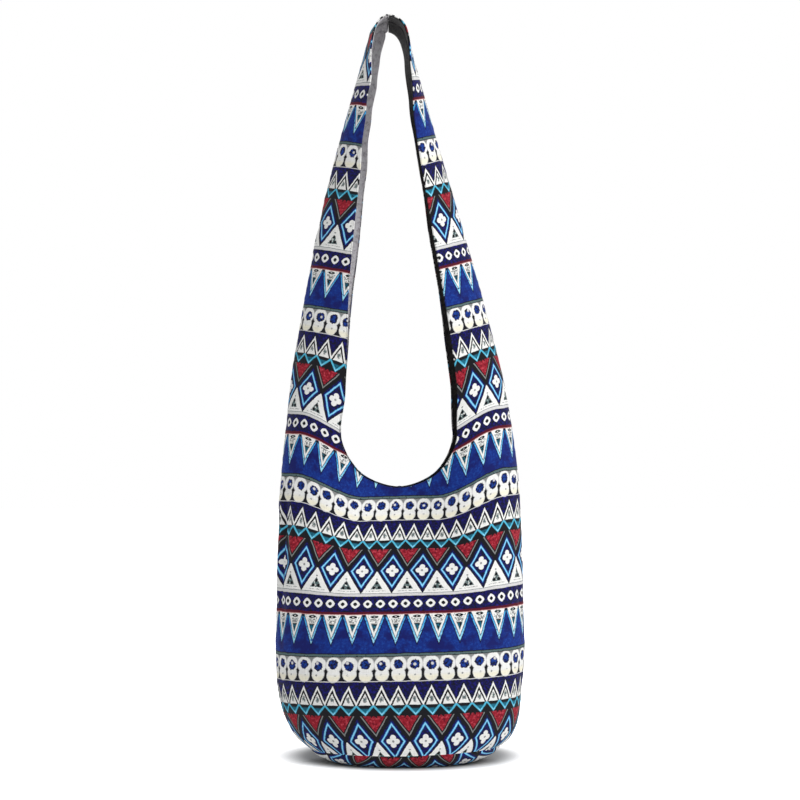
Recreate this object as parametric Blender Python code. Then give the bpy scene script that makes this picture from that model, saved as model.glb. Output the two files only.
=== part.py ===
"""A slouchy shoulder bag of printed cotton, hanging open from the top of its strap.

Metres, +Z up. X runs across the bag, the front panel faces -Y, and the bag
stands on the flat middle of its base at Z = 0.

The bag has two equal outer panels. Each is cut in one piece with its left and
right strap halves. They are sewn together along the side seams, which run on
up the middle of the strap to the shoulder seam at its top. An oval base panel
closes the bottom, and a dark lining of the same cut hangs inside.

The panels are drawn flat first. Cloth place u runs across a panel from its left
seam to its right seam, with 0 at the middle, and v runs up it, with 0 at the
lower grey line of the print. cloth_point bends that flat place into the bag.
"""
import math

import bmesh
import bpy
import numpy as np
from mathutils import Vector

# Cut of the cloth
PANEL_WIDTH = 0.350
STRAP_ROOT_HALF = 0.0985
STRAP_TOP_HALF = 0.038
STRAP_TAPER = 1.15
MOUTH_CORNER = 0.054
MOUTH_SQUARENESS = 1.75
MOUTH_FLAT_HALF = 0.012
MOUTH_ABOVE_LINE = 0.0115
PANEL_THICKNESS = 0.0018
LINING_THICKNESS = 0.0008
GAP = 0.0003

# Side seam as the bag hangs: half widths at heights
RIM_HALF_WIDTH = 0.1060
RIM_HEIGHT = 0.0155
HEEL_HALF_WIDTH = 0.1228
HEEL_HEIGHT = 0.031
CORNER_HALF_WIDTH = 0.1335
CORNER_HEIGHT = 0.055
LOW_HALF_WIDTH = 0.1392
LOW_HEIGHT = 0.092
BELLY_HALF_WIDTH = 0.1408
BELLY_HEIGHT = 0.140
WAIST_HALF_WIDTH = 0.1360
WAIST_HEIGHT = 0.300
SHOULDER_HALF_WIDTH = 0.1265
SHOULDER_HEIGHT = 0.392
STRAP_LOW_HALF_WIDTH = 0.1172
STRAP_LOW_HEIGHT = 0.450
STRAP_MID_HALF_WIDTH = 0.0795
STRAP_MID_HEIGHT = 0.6136
STRAP_HIGH_HALF_WIDTH = 0.0300
STRAP_HIGH_BELOW_TOP = 0.0473
ARCH_RADIUS = 0.022
TWIST_REACH = 0.080
OVERALL_HEIGHT = 0.840
HANG_OFFSET = -0.0133
BASE_OFFSET = 0.005
BASE_SHIFT_ENDS = 0.085

# Depth and drape. A fullness is how late a row bends towards the bag's middle,
# and a turn is the angle at which the cloth leaves the side seam.
RIM_FULLNESS = 1.2
BELLY_FULLNESS = 2.1
MOUTH_FULLNESS = 4.0
STRAP_FULLNESS = 6.0
RIM_DEPTH_SCALE = 0.626
CORNER_EASE = 0.5
MOUTH_RECESS = 0.023
RECESS_FROM_SEAM = 0.060
FRONT_SAG = 0.0303
SAG_FROM_SEAM = (0.035, 0.130)
SAG_GROWS = (0.140, 0.360)
SAG_ENDS = (0.385, 0.520)
LEAN_REACH = 0.10
HANG_SHIFT = (0.300, 0.720)
BASE_ROUNDING = 0.34
BASE_SLOPE = 0.4
BASE_DIPS = (0.0, 0.4, 1.0)

# How far the back of each strap stands inwards of its front (toe), and how far the
# inner edges of both are drawn inwards (spread): amounts that come in one after
# another, each between two seam heights. All ease away at the crown of the arch.
LEFT_TOE = ((0.0060, 0.455, 0.600), (0.0030, 0.775, 0.800))
RIGHT_TOE = ((0.0042, 0.345, 0.440), (-0.0028, 0.475, 0.560), (-0.0014, 0.600, 0.660),
             (0.0040, 0.700, 0.780))
LEFT_SPREAD = ((0.0050, 0.400, 0.440), (-0.0030, 0.470, 0.560), (-0.0040, 0.670, 0.720),
               (0.0065, 0.745, 0.778))
RIGHT_SPREAD = ((-0.0040, 0.400, 0.450), (-0.0012, 0.700, 0.735), (0.0052, 0.755, 0.795))

# The back edge of the arch hangs lower than its front edge: by how much, and between
# which distances below the top this grows
BACK_DROOP = 0.0065
DROOP_GROWS = (0.050, 0.012)

# Shares of the way from the mouth to the arch at the top of the strap
STRAP_FULL_BY = 0.5
STRAP_WIDE_BY = 0.8
LOWER_TURN = math.radians(20)
LOWER_TURN_BY = 0.5
UPPER_TURN = math.radians(12)
UPPER_TURN_OVER = (0.45, 0.85)
ARCH_TURN = math.radians(90)
ARCH_TURN_OVER = (0.80, 1.0)

# Print, measured on the flat cloth upwards from the grey line
TILE_WIDTH = 0.0702
PRINT_ACROSS = -0.0100
PRINT_DRIFT = 0.011
STRAP_PRINT_DRIFT = 0.072
PRINT_ABOVE_RIM = 0.117
ROW_SKEW = 0.004
STRAP_DRAW_IN = 0.05
DRAW_IN_FROM = 0.27
LINE_HALF = 0.002
BLUE_FOOT = 0.0105
SPIKE_HEIGHT = 0.0342
MAROON_LINE = 0.0028
RING_BAND = 0.0199
PALE_LINE = 0.0030
DIAMOND_LOWER = 0.0300
DIAMOND_UPPER = 0.0285
TEAL_BAND = 0.0129
ZIGZAG_HEIGHT = 0.0224
NAVY_TOP = 0.0045
SCALLOP_BAND = 0.0274
SPIKES_BACK = 0.0077
RINGS_BACK = 0.0124

# Shares of a print cell
SPIKE_EDGE = 0.15
RING_SIDE = 0.20
RING_MARGIN = 0.25
NESTS = (("navy", 1.0, 0.74), ("sky", 0.74, 0.56), ("navy", 0.56, 0.30))
SCALLOP_FOOT = 0.27
SCALLOP_WAIST = 0.40
SCALLOP_LEVEL = 0.50
SCALLOP_SPOT = 0.24

COLOURS = {
    "navy": (0.010, 0.008, 0.075),
    "black": (0.006, 0.006, 0.012),
    "royal": (0.012, 0.040, 0.300),
    "sky": (0.105, 0.500, 0.900),
    "teal": (0.050, 0.350, 0.560),
    "red": (0.380, 0.022, 0.035),
    "maroon": (0.110, 0.004, 0.018),
    "slate": (0.100, 0.150, 0.150),
    "white": (0.880, 0.880, 0.860),
    "cream": (0.860, 0.800, 0.640),
}
LINING_COLOUR = (0.020, 0.021, 0.024)
CLOTH_ROUGHNESS = 0.85

# Fineness of the mesh
SEAM_STEPS = 24
BEND_STEPS = 12
SLOPE_STEP = 0.0005
BODY_ROWS = 8
ARCH_ROWS = 6
ARCH_LEAD = 0.012
TWIST_SHARES = (1.0, 0.75, 0.5, 0.25)
CORNER_SHARES = (0.42, 0.62, 0.78, 0.90, 0.97)
COLUMN_SHARES = (0.0, 0.07, 0.20, 0.40, 0.62, 0.82, 1.0)
BASE_SIDES = 36
BASE_STEP = 0.002
WELD_REACH = 2.5e-4
LEVEL_REACH = 7e-4
ON_LINE = 2e-4
LEAST_EAR = 1e-9

HALF_PANEL = PANEL_WIDTH / 2


def smooth(edge0, edge1, value):
    """Ease from 0 at edge0 to 1 at edge1."""
    t = min(max((value - edge0) / (edge1 - edge0), 0.0), 1.0)
    return t * t * (3 - 2 * t)


def mix(a, b, t):
    return a + (b - a) * t


def hermite_run(points, steps):
    """Points of a smooth curve through the given points, steps to each stretch."""
    knots = [np.array(p) for p in points]
    slopes = []
    for i in range(len(knots)):
        before = knots[max(i - 1, 0)]
        after = knots[min(i + 1, len(knots) - 1)]
        slopes.append((after - before) / np.linalg.norm(after - before))
    run = []
    for a, b, ta, tb in zip(knots, knots[1:], slopes, slopes[1:]):
        length = np.linalg.norm(b - a)
        for i in range(steps):
            t = i / steps
            run.append((2 * t**3 - 3 * t**2 + 1) * a + (t**3 - 2 * t**2 + t) * length * ta
                       + (3 * t**2 - 2 * t**3) * b + (t**3 - t**2) * length * tb)
    run.append(knots[-1])
    return run


def seam_curve():
    """Half width and height along the side seam, from the rim to the shoulder seam.

    The cloth is eased round the corner above the rim, so its lengths there are short."""
    crown = (0.0, OVERALL_HEIGHT - ARCH_RADIUS)
    high = (STRAP_HIGH_HALF_WIDTH, OVERALL_HEIGHT - STRAP_HIGH_BELOW_TOP)
    reach = math.hypot(high[0], high[1] - crown[1])
    touch = math.atan2(high[1] - crown[1], high[0]) + math.acos(ARCH_RADIUS / reach)
    arch = [(ARCH_RADIUS * math.cos(a), crown[1] + ARCH_RADIUS * math.sin(a))
            for a in np.linspace(touch, math.pi / 2, SEAM_STEPS)]
    side = [(RIM_HALF_WIDTH, RIM_HEIGHT), (HEEL_HALF_WIDTH, HEEL_HEIGHT),
            (CORNER_HALF_WIDTH, CORNER_HEIGHT), (LOW_HALF_WIDTH, LOW_HEIGHT),
            (BELLY_HALF_WIDTH, BELLY_HEIGHT), (WAIST_HALF_WIDTH, WAIST_HEIGHT),
            (SHOULDER_HALF_WIDTH, SHOULDER_HEIGHT), (STRAP_LOW_HALF_WIDTH, STRAP_LOW_HEIGHT),
            (STRAP_MID_HALF_WIDTH, STRAP_MID_HEIGHT), high, arch[0]]
    run = np.array(hermite_run(side, SEAM_STEPS)[:-1] + arch)
    steps = np.diff(run, axis=0)
    steps[:2 * SEAM_STEPS, 0] *= CORNER_EASE
    lengths = np.concatenate([[0.0], np.cumsum(np.linalg.norm(steps, axis=1))])
    return run, lengths, lengths[-len(arch)]


SEAM, SEAM_LENGTHS, ARCH_START = seam_curve()
SEAM_TOP = SEAM_LENGTHS[-1]


def seam_at(s):
    """Half width, height and inward lean of the seam at a length s above the rim."""
    i = int(np.clip(np.searchsorted(SEAM_LENGTHS, s) - 1, 0, len(SEAM_LENGTHS) - 2))
    t = (s - SEAM_LENGTHS[i]) / (SEAM_LENGTHS[i + 1] - SEAM_LENGTHS[i])
    half, height = SEAM[i] + (SEAM[i + 1] - SEAM[i]) * t
    j = min(i + 1, len(SEAM) - 2)
    slope = (SEAM[i + 1] - SEAM[i]) * (1 - t) + (SEAM[j + 1] - SEAM[j]) * t
    return half, height, math.atan2(-slope[0], slope[1])


def seam_length(u, v):
    """Length above the rim, along the seam, at which the row through (u, v) starts.

    The strap's seam is drawn in a little, and the rows climb from left to right."""
    drawn = v - STRAP_DRAW_IN * max(v - DRAW_IN_FROM, 0.0)
    return PRINT_ABOVE_RIM + drawn + ROW_SKEW * u / HALF_PANEL


def strap_row_at(u, s):
    """The v on the strap whose row starts at length s."""
    plain = s - PRINT_ABOVE_RIM - ROW_SKEW * u / HALF_PANEL
    return (plain - STRAP_DRAW_IN * DRAW_IN_FROM) / (1 - STRAP_DRAW_IN)


PERIOD = (2 * LINE_HALF + BLUE_FOOT + SPIKE_HEIGHT + MAROON_LINE + RING_BAND + PALE_LINE
          + DIAMOND_LOWER + DIAMOND_UPPER + TEAL_BAND + ZIGZAG_HEIGHT + NAVY_TOP + SCALLOP_BAND)
RIM_ROW = -PRINT_ABOVE_RIM
MOUTH_ROW = PERIOD + MOUTH_ABOVE_LINE
ROOT_ROW = MOUTH_ROW + MOUTH_CORNER
MOUTH_LENGTH = seam_length(0.0, MOUTH_ROW)
BELLY_LENGTH = float(np.interp(BELLY_HEIGHT, SEAM[:, 1], SEAM_LENGTHS))


def strap_half(v):
    """Flat distance from the side seam to the inner edge of the cloth at row v."""
    rise = (seam_length(0.0, v) - MOUTH_LENGTH) / (ARCH_START - MOUTH_LENGTH)
    run = min(max(rise, 0.0), 1.0)
    strap = mix(STRAP_TOP_HALF, STRAP_ROOT_HALF, (1 - run) ** STRAP_TAPER)
    if v >= ROOT_ROW:
        return strap
    t = max(v - MOUTH_ROW, 0.0) / MOUTH_CORNER
    corner = (1 - (1 - t) ** MOUTH_SQUARENESS) ** (1 / MOUTH_SQUARENESS)
    return min(mix(HALF_PANEL, strap, corner), HALF_PANEL - MOUTH_FLAT_HALF)


def section_at(s):
    """How a row bends away from the seam: fullness, turn, width and depth scales."""
    up = smooth(BELLY_LENGTH, MOUTH_LENGTH, s)
    rise = (s - MOUTH_LENGTH) / (ARCH_START - MOUTH_LENGTH)
    low = smooth(0.0, BELLY_LENGTH, s)
    body_fullness = mix(mix(RIM_FULLNESS, BELLY_FULLNESS, low), MOUTH_FULLNESS, up)
    fullness = mix(body_fullness, STRAP_FULLNESS, smooth(0.0, STRAP_FULL_BY, rise))
    turn = LOWER_TURN * smooth(0.0, LOWER_TURN_BY, rise) + UPPER_TURN * smooth(*UPPER_TURN_OVER, rise)
    turn = mix(turn, ARCH_TURN, smooth(*ARCH_TURN_OVER, rise))
    body = seam_at(min(s, MOUTH_LENGTH))[0] / bend(HALF_PANEL, body_fullness, 0.0)[0]
    width = mix(body, 1.0, smooth(0.0, STRAP_WIDE_BY, rise))
    depth = mix(RIM_DEPTH_SCALE, 1.0, low)
    return fullness, turn, width, depth


def bend(d, fullness, turn):
    """Reach inwards and forwards of a row, at flat distance d from the seam."""
    inward = 0.0
    forward = 0.0
    for i in range(BEND_STEPS + 1):
        weight = 1 if i in (0, BEND_STEPS) else (4 if i % 2 else 2)
        free = 1 - d * i / BEND_STEPS / HALF_PANEL
        angle = turn + (math.pi / 2 - turn) * max(free, 0.0) ** fullness
        inward += weight * math.cos(angle)
        forward += weight * math.sin(angle)
    return inward * d / BEND_STEPS / 3, forward * d / BEND_STEPS / 3


def middle_at(height):
    """X of the bag's middle at a height: it leans a little as it hangs."""
    top = HANG_OFFSET * smooth(*HANG_SHIFT, height)
    return top + BASE_OFFSET * (1 - smooth(RIM_HEIGHT, BASE_SHIFT_ENDS, height))


def outer_point(u, v):
    """Place in the bag of the flat place (u, v) on the front panel's outer face."""
    side = -1 if u < 0 else 1
    d = HALF_PANEL - abs(u)
    s = seam_length(u, v)
    half, height, lean = seam_at(s)
    fullness, turn, width, depth = section_at(s)
    inward, forward = bend(d, fullness, turn)
    inward *= width
    tilt = lean * smooth(MOUTH_LENGTH, MOUTH_LENGTH + LEAN_REACH, s)
    sag = FRONT_SAG * smooth(*SAG_GROWS, height) * (1 - smooth(*SAG_ENDS, height))
    sag *= smooth(*SAG_FROM_SEAM, d)
    recess = MOUTH_RECESS * smooth(BELLY_LENGTH, MOUTH_LENGTH, s)
    recess *= smooth(RECESS_FROM_SEAM, HALF_PANEL, d)
    x = middle_at(height) + side * (half - inward * math.cos(tilt))
    spread = stepped(LEFT_SPREAD if u < 0 else RIGHT_SPREAD, height) * off_crown(half)
    x -= side * spread * smooth(0.0, strap_half(v), d)
    y = -(forward * depth - recess) - GAP / 2
    z = height - inward * math.sin(tilt) - sag
    return Vector((x, y, z))


def cloth_point(u, v, inset):
    """outer_point moved inwards through the cloth by inset."""
    place = outer_point(u, v)
    if inset == 0:
        return place
    across = outer_point(u + SLOPE_STEP, v) - outer_point(u - SLOPE_STEP, v)
    if abs(u) < 2 * SLOPE_STEP:
        across = Vector((1, 0, 0))
    up = outer_point(u, v + SLOPE_STEP) - outer_point(u, v - SLOPE_STEP)
    inwards = up.cross(across).normalized()
    if abs(abs(u) - HALF_PANEL) < SLOPE_STEP:
        inwards.y = 0
        inwards.normalize()
    return place + inwards * inset


def off_crown(half):
    """0 at the crown of the arch, easing to 1 where the strap hangs from it."""
    return smooth(0.0, ARCH_RADIUS, half)


def stepped(terms, height):
    """Sum of amounts that each come in between two seam heights."""
    return sum(reach * smooth(low, high, height) for reach, low, high in terms)


def droop(u, v):
    """How far the back edge of the arch hangs lower than its front edge, at (u, v)."""
    height = seam_at(seam_length(u, v))[1]
    drop = BACK_DROOP * smooth(OVERALL_HEIGHT - DROOP_GROWS[0], OVERALL_HEIGHT - DROOP_GROWS[1], height)
    return drop * smooth(0.0, 1.0, (HALF_PANEL - abs(u)) / strap_half(v))


def toe_in(u, v):
    """How far sideways the back of a strap stands from its front, at (u, v)."""
    half, height = seam_at(seam_length(u, v))[:2]
    toe = stepped(LEFT_TOE if u < 0 else RIGHT_TOE, height)
    toe *= off_crown(half) * smooth(0.0, 1.0, (HALF_PANEL - abs(u)) / strap_half(v))
    return toe if u < 0 else -toe


def cloth_points(places, inset, back):
    """cloth_point of each place, with the toe-in and droop of the back panel's strap."""
    points = [cloth_point(u, v, inset) for u, v in places]
    if back:
        for (u, v), point in zip(places, points):
            point.x += toe_in(u, v)
            point.z -= droop(u, v)
    return points


def mirrored(shapes, width):
    """The shapes of half a cell, with their mirror images in the other half."""
    both = list(shapes)
    for colour, outline in shapes:
        both.append((colour, [(width - u, v) for u, v in reversed(outline)]))
    return both


def box(u0, u1, v0, v1):
    return [(u0, v0), (u1, v0), (u1, v1), (u0, v1)]


def spike_cell(width):
    """Royal blue spikes with sky blue edges, and pale wedges between them."""
    foot = LINE_HALF + BLUE_FOOT
    tip = foot + SPIKE_HEIGHT
    mid = width / 2
    edge = width * SPIKE_EDGE
    drop = SPIKE_HEIGHT * edge / mid
    half = [("sky", [(0, foot), (edge, foot), (mid, tip - drop), (mid, tip)])]
    return mirrored(half, width) + [
        ("royal", [(edge, foot), (width - edge, foot), (mid, tip - drop)]),
        ("royal", box(0, width, LINE_HALF, foot)),
        ("white", [(0, foot), (mid, tip), (-mid, tip)]),
        ("maroon", box(-mid, mid, tip, tip + MAROON_LINE))]


def ring_cell(width):
    """White dots on navy."""
    left = width * RING_SIDE
    right = width - left
    low = RING_BAND * RING_MARGIN
    high = RING_BAND - low
    return [("navy", box(0, width, 0, low)), ("navy", box(0, width, high, RING_BAND)),
            ("white", box(left, right, low, high)),
            ("navy", box(right, width + left, low, high))]


def diamond_cell(width):
    """One nested diamond, with half a pale wedge at each lower corner and half a red one above."""
    mid = width / 2
    centre = PALE_LINE + DIAMOND_LOWER
    top = centre + DIAMOND_UPPER
    half = []
    for colour, outer, inner in NESTS:
        for reach in (-DIAMOND_LOWER, DIAMOND_UPPER):
            piece = [(mid - mid * outer, centre), (mid, centre + reach * outer),
                     (mid, centre + reach * inner), (mid - mid * inner, centre)]
            half.append((colour, piece if reach < 0 else piece[::-1]))
    flower = NESTS[-1][2]
    half.append(("red", [(0, centre), (mid, top), (0, top)]))
    half.append(("white", [(0, PALE_LINE), (mid, PALE_LINE), (0, centre)]))
    return mirrored(half, width) + [
        ("white", [(mid - mid * flower, centre), (mid, centre - DIAMOND_LOWER * flower),
                   (mid + mid * flower, centre), (mid, centre + DIAMOND_UPPER * flower)]),
        ("white", box(0, width, 0, PALE_LINE))]


def teal_cell(width):
    """Teal wedges pointing down into black."""
    mid = width / 2
    return [("teal", [(0, TEAL_BAND), (mid, 0), (width, TEAL_BAND)]),
            ("black", [(-mid, 0), (mid, 0), (0, TEAL_BAND)])]


def zigzag_cell(width):
    """White wedges on the teal band, under a navy stripe."""
    mid = width / 2
    return [("white", [(0, 0), (width, 0), (mid, ZIGZAG_HEIGHT)]),
            ("navy", [(0, 0), (mid, ZIGZAG_HEIGHT), (-mid, ZIGZAG_HEIGHT)]),
            ("navy", box(-mid, mid, ZIGZAG_HEIGHT, ZIGZAG_HEIGHT + NAVY_TOP))]


def scallop_cell(width):
    """An upright pale scallop with a navy spot in its upper half."""
    mid = width / 2
    foot = width * SCALLOP_FOOT
    waist = SCALLOP_BAND * SCALLOP_WAIST
    level = SCALLOP_BAND * SCALLOP_LEVEL
    spot = width * SCALLOP_SPOT
    half = [("black", [(0, 0), (foot, 0), (0, waist)]),
            ("white", [(0, waist), (mid, level), (mid - spot, SCALLOP_BAND), (0, SCALLOP_BAND)])]
    return mirrored(half, width) + [
        ("cream", [(foot, 0), (width - foot, 0), (width, waist), (mid, level), (0, waist)]),
        ("navy", [(mid, level), (mid + spot, SCALLOP_BAND), (mid - spot, SCALLOP_BAND)])]


def line_cell(width):
    return [("slate", box(0, width, -LINE_HALF, LINE_HALF))]


def band_feet():
    """Foot of each band of the print above the grey line."""
    rings = LINE_HALF + BLUE_FOOT + SPIKE_HEIGHT + MAROON_LINE
    diamonds = rings + RING_BAND
    teal = diamonds + PALE_LINE + DIAMOND_LOWER + DIAMOND_UPPER
    zigzag = teal + TEAL_BAND
    scallops = zigzag + ZIGZAG_HEIGHT + NAVY_TOP
    return rings, diamonds, teal, zigzag, scallops


def print_bands():
    """Each band of the print: its foot, cell width, shift and cell."""
    third = TILE_WIDTH / 3
    fourth = TILE_WIDTH / 4
    fifth = TILE_WIDTH / 5
    half = TILE_WIDTH / 2
    rings, diamonds, teal, zigzag, scallops = band_feet()
    return [(0.0, half, half / 2, line_cell(half)),
            (0.0, third, SPIKES_BACK, spike_cell(third)),
            (rings, fifth, RINGS_BACK, ring_cell(fifth)),
            (diamonds, half, half / 2, diamond_cell(half)),
            (teal, fourth, 0.0, teal_cell(fourth)),
            (zigzag, fourth, 0.0, zigzag_cell(fourth)),
            (scallops, fourth, 0.0, scallop_cell(fourth))]


def print_shapes(low, high):
    """Every shape of the print between two rows, over the whole width of a panel."""
    shapes = []
    for k in range(math.floor(low / PERIOD) - 1, math.ceil(high / PERIOD) + 1):
        drift = PERIOD * (PRINT_DRIFT * k + STRAP_PRINT_DRIFT * max(k, 0))
        for foot, width, shift, cell in print_bands():
            start = PRINT_ACROSS + drift - shift
            first = math.floor((-HALF_PANEL - start) / width) - 1
            last = math.ceil((HALF_PANEL - start) / width) + 1
            for j in range(first, last):
                for colour, outline in cell:
                    moved = [(u + start + j * width, v + foot + k * PERIOD) for u, v in outline]
                    if max(p[1] for p in moved) > low and min(p[1] for p in moved) < high:
                        shapes.append((colour, moved))
    return shapes


def clip(outline, a, b, c):
    """The part of a convex outline where a * u + b * v is at least c."""
    kept = []
    for p, q in zip(outline, outline[1:] + outline[:1]):
        over_p = a * p[0] + b * p[1] - c
        over_q = a * q[0] + b * q[1] - c
        if over_p >= 0:
            kept.append(p)
        if over_p * over_q < 0:
            t = over_p / (over_p - over_q)
            kept.append((mix(p[0], q[0], t), mix(p[1], q[1], t)))
    return kept


def clip_right_of(outline, low, high):
    """The part of an outline to the right of the line from (u, v) low up to high."""
    a = high[1] - low[1]
    b = low[0] - high[0]
    return clip(outline, a, b, a * low[0] + b * low[1])


def flat_area(outline):
    return sum(p[0] * q[1] - q[0] * p[1] for p, q in zip(outline, outline[1:] + outline[:1])) / 2


def mouth_rows():
    """Rows through the rounded lower corners of the mouth."""
    rows = [MOUTH_ROW, ROOT_ROW]
    for reach in CORNER_SHARES:
        t = 1 - (1 - reach ** MOUTH_SQUARENESS) ** (1 / MOUTH_SQUARENESS)
        rows.append(MOUTH_ROW + t * MOUTH_CORNER)
    return rows


def end_row(side):
    return strap_row_at(side * HALF_PANEL, SEAM_TOP - GAP)


def arch_rows(side):
    """Rows round the top of the strap on one side, up to its end."""
    lengths = np.linspace(ARCH_START - ARCH_LEAD, SEAM_TOP - GAP, ARCH_ROWS)
    return [strap_row_at(side * HALF_PANEL, s) for s in lengths[:-1]] + [end_row(side)]


def cut_cloth(shapes, rows, side):
    """Cuts flat shapes to a panel's outline, between rows. side 0 is the body, -1 or 1 a strap."""
    pieces = []
    for low, high in zip(rows, rows[1:]):
        gap_low = HALF_PANEL - strap_half(low)
        gap_high = HALF_PANEL - strap_half(high)
        for colour, outline in shapes:
            levels = [p[1] for p in outline]
            if max(levels) <= low or min(levels) >= high:
                continue
            cut = clip(clip(outline, 0, 1, low), 0, -1, -high)
            cut = clip(clip(cut, 1, 0, -HALF_PANEL), -1, 0, -HALF_PANEL)
            if side == 1:
                cut = clip_right_of(cut, (gap_low, low), (gap_high, high))
            if side == -1:
                flipped = [(-u, v) for u, v in reversed(cut)]
                cut = clip_right_of(flipped, (gap_low, low), (gap_high, high))
                cut = [(-u, v) for u, v in reversed(cut)]
            if len(cut) > 2:
                pieces.append((colour, cut))
    return pieces


def with_rows_between(rows, low, high):
    """The rows between low and high, with both ends, where no two lie closer than ON_LINE."""
    kept = [low]
    for row in sorted(rows):
        if kept[-1] + ON_LINE < row < high - ON_LINE:
            kept.append(row)
    return kept + [high]


def on_levels(rows, low, high):
    """The rows, each moved to the nearest level of the print's corners if that is close."""
    levels = np.array(sorted({v for _, outline in print_shapes(low, high) for _, v in outline}))
    nearest = [float(levels[np.argmin(np.abs(levels - row))]) for row in rows]
    return [level if abs(level - row) < LEVEL_REACH else row
            for row, level in zip(rows, nearest)]


def corner_near(grid, places, u, v):
    """The index of the corner at (u, v), which is added where none lies within WELD_REACH."""
    column = math.floor(u / WELD_REACH)
    row = math.floor(v / WELD_REACH)
    for i in (0, -1, 1):
        for j in (0, -1, 1):
            for index in grid.get((column + i, row + j), ()):
                if math.dist(places[index], (u, v)) < WELD_REACH:
                    return index
    grid.setdefault((column, row), []).append(len(places))
    places.append((u, v))
    return len(places) - 1


def weld(pieces):
    """Joins flat pieces into one net: shared corners, and corners added where another's lie."""
    grid = {}
    places = []
    outlines = []
    for colour, outline in pieces:
        ring = []
        for u, v in outline:
            index = corner_near(grid, places, u, v)
            if index not in ring[-1:]:
                ring.append(index)
        outlines.append((colour, ring[1:] if ring[0] == ring[-1] else ring))
    places = np.array(places)
    faces = []
    for colour, ring in outlines:
        full = []
        for i, j in zip(ring, ring[1:] + ring[:1]):
            full.append(i)
            full.extend(on_edge(places, i, j))
        for part in simple_rings(full):
            faces += [(colour, corners) for corners in flat_triangles(places, part)]
    return places, faces


def simple_rings(ring):
    """Splits a ring at corners that it passes twice, and drops what has no area."""
    for i, corner in enumerate(ring):
        if corner in ring[i + 1:]:
            j = ring.index(corner, i + 1)
            return simple_rings(ring[i:j]) + simple_rings(ring[j:] + ring[:i])
    return [ring] if len(ring) > 2 else []


def flat_triangles(places, ring):
    """Cuts a convex flat ring into triangles, shortest cuts first and no empty ones."""
    left = list(ring)
    cut = []
    while len(left) > 3:
        whole = flat_area([tuple(places[n]) for n in left])
        ears = []
        for i, corner in enumerate(left):
            ear = [left[i - 1], corner, left[(i + 1) % len(left)]]
            area = flat_area([tuple(places[n]) for n in ear])
            room = min(area, whole - area, LEAST_EAR)
            ears.append((room, -math.dist(places[ear[0]], places[ear[2]]), corner, ear))
        _, _, corner, ear = max(ears)
        cut.append(ear)
        left.remove(corner)
    return cut + [left]


def on_edge(places, i, j):
    """The corners that lie on the edge between corners i and j, in order."""
    start = places[i]
    along = places[j] - start
    length = np.linalg.norm(along)
    offset = places - start
    reach = offset @ along / length
    aside = np.abs(offset[:, 0] * along[1] - offset[:, 1] * along[0]) / length
    found = np.nonzero((aside < ON_LINE) & (reach > ON_LINE) & (reach < length - ON_LINE))[0]
    return sorted(found.tolist(), key=lambda n: reach[n])


def column_shapes(low, high):
    """Plain columns for the hidden faces, closer together near the seams."""
    right = [HALF_PANEL * (1 - share) for share in COLUMN_SHARES]
    edges = [-u for u in right] + right[::-1][1:]
    return [("navy", box(a, b, low, high)) for a, b in zip(edges, edges[1:])]


def body_rows():
    return [float(v) for v in np.linspace(RIM_ROW, MOUTH_ROW, BODY_ROWS)]


def strap_rows(side):
    """Rows of one strap half from the mouth to the shoulder seam."""
    arch = arch_rows(side)
    rings, _, teal, _, _ = band_feet()
    straight = [k * PERIOD + foot for k in range(1, math.ceil(arch[0] / PERIOD))
                for foot in (rings, teal, PERIOD - LINE_HALF)]
    straight = [v for v in straight if ROOT_ROW < v < arch[0] - TWIST_REACH]
    twisted = [arch[0] - TWIST_REACH * share for share in TWIST_SHARES]
    rows = on_levels(mouth_rows() + straight + twisted + arch, MOUTH_ROW, arch[-1])
    return with_rows_between(rows, MOUTH_ROW, arch[-1])


def printed_net():
    """The flat printed face of a panel."""
    pieces = cut_cloth(print_shapes(RIM_ROW, MOUTH_ROW), [RIM_ROW, MOUTH_ROW], 0)
    for side in (-1, 1):
        rows = strap_rows(side)
        pieces += cut_cloth(print_shapes(rows[0], rows[-1]), rows, side)
    return weld(pieces)


def plain_net():
    """The same outline in plain columns and rows, for the faces that don't show the print."""
    pieces = []
    runs = [(body_rows(), 0), (strap_rows(-1), -1), (strap_rows(1), 1)]
    for rows, side in runs:
        for low, high in zip(rows, rows[1:]):
            pieces += cut_cloth(column_shapes(low, high), [low, high], side)
    return weld(pieces)


def outline_loop(places, faces):
    """The corners round a net, anticlockwise from its lower left."""
    after = {}
    used = {(a, b) for _, ring in faces for a, b in zip(ring, ring[1:] + ring[:1])}
    for a, b in used:
        if (b, a) not in used:
            after[a] = b
    start = min(after, key=lambda n: (places[n][1] + places[n][0]))
    loop = [start]
    while after[loop[-1]] != start:
        loop.append(after[loop[-1]])
    return loop


def shares_along(places, loop):
    """How far round the outline each corner of a loop lies, from 0 to 1."""
    ring = places[loop]
    steps = np.linalg.norm(np.roll(ring, -1, axis=0) - ring, axis=1)
    return np.cumsum(steps) / steps.sum()


def edge_faces(front, back, front_shares, back_shares):
    """Triangles that join the loop round one face of the cloth to the loop round the other."""
    faces = []
    i = 0
    j = 0
    while i < len(front) or j < len(back):
        here = front[i % len(front)]
        there = back[j % len(back)]
        if j == len(back) or (i < len(front) and front_shares[i] <= back_shares[j]):
            i += 1
            faces.append([front[i % len(front)], here, there])
        else:
            j += 1
            faces.append([here, there, back[j % len(back)]])
    return faces


def cloth_material(name, colour):
    material = bpy.data.materials.new(name)
    material.use_nodes = True
    shader = material.node_tree.nodes["Principled BSDF"]
    shader.inputs["Base Color"].default_value = (*colour, 1)
    shader.inputs["Roughness"].default_value = CLOTH_ROUGHNESS
    shader.inputs["Metallic"].default_value = 0
    material.diffuse_color = (*colour, 1)
    return material


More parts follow.
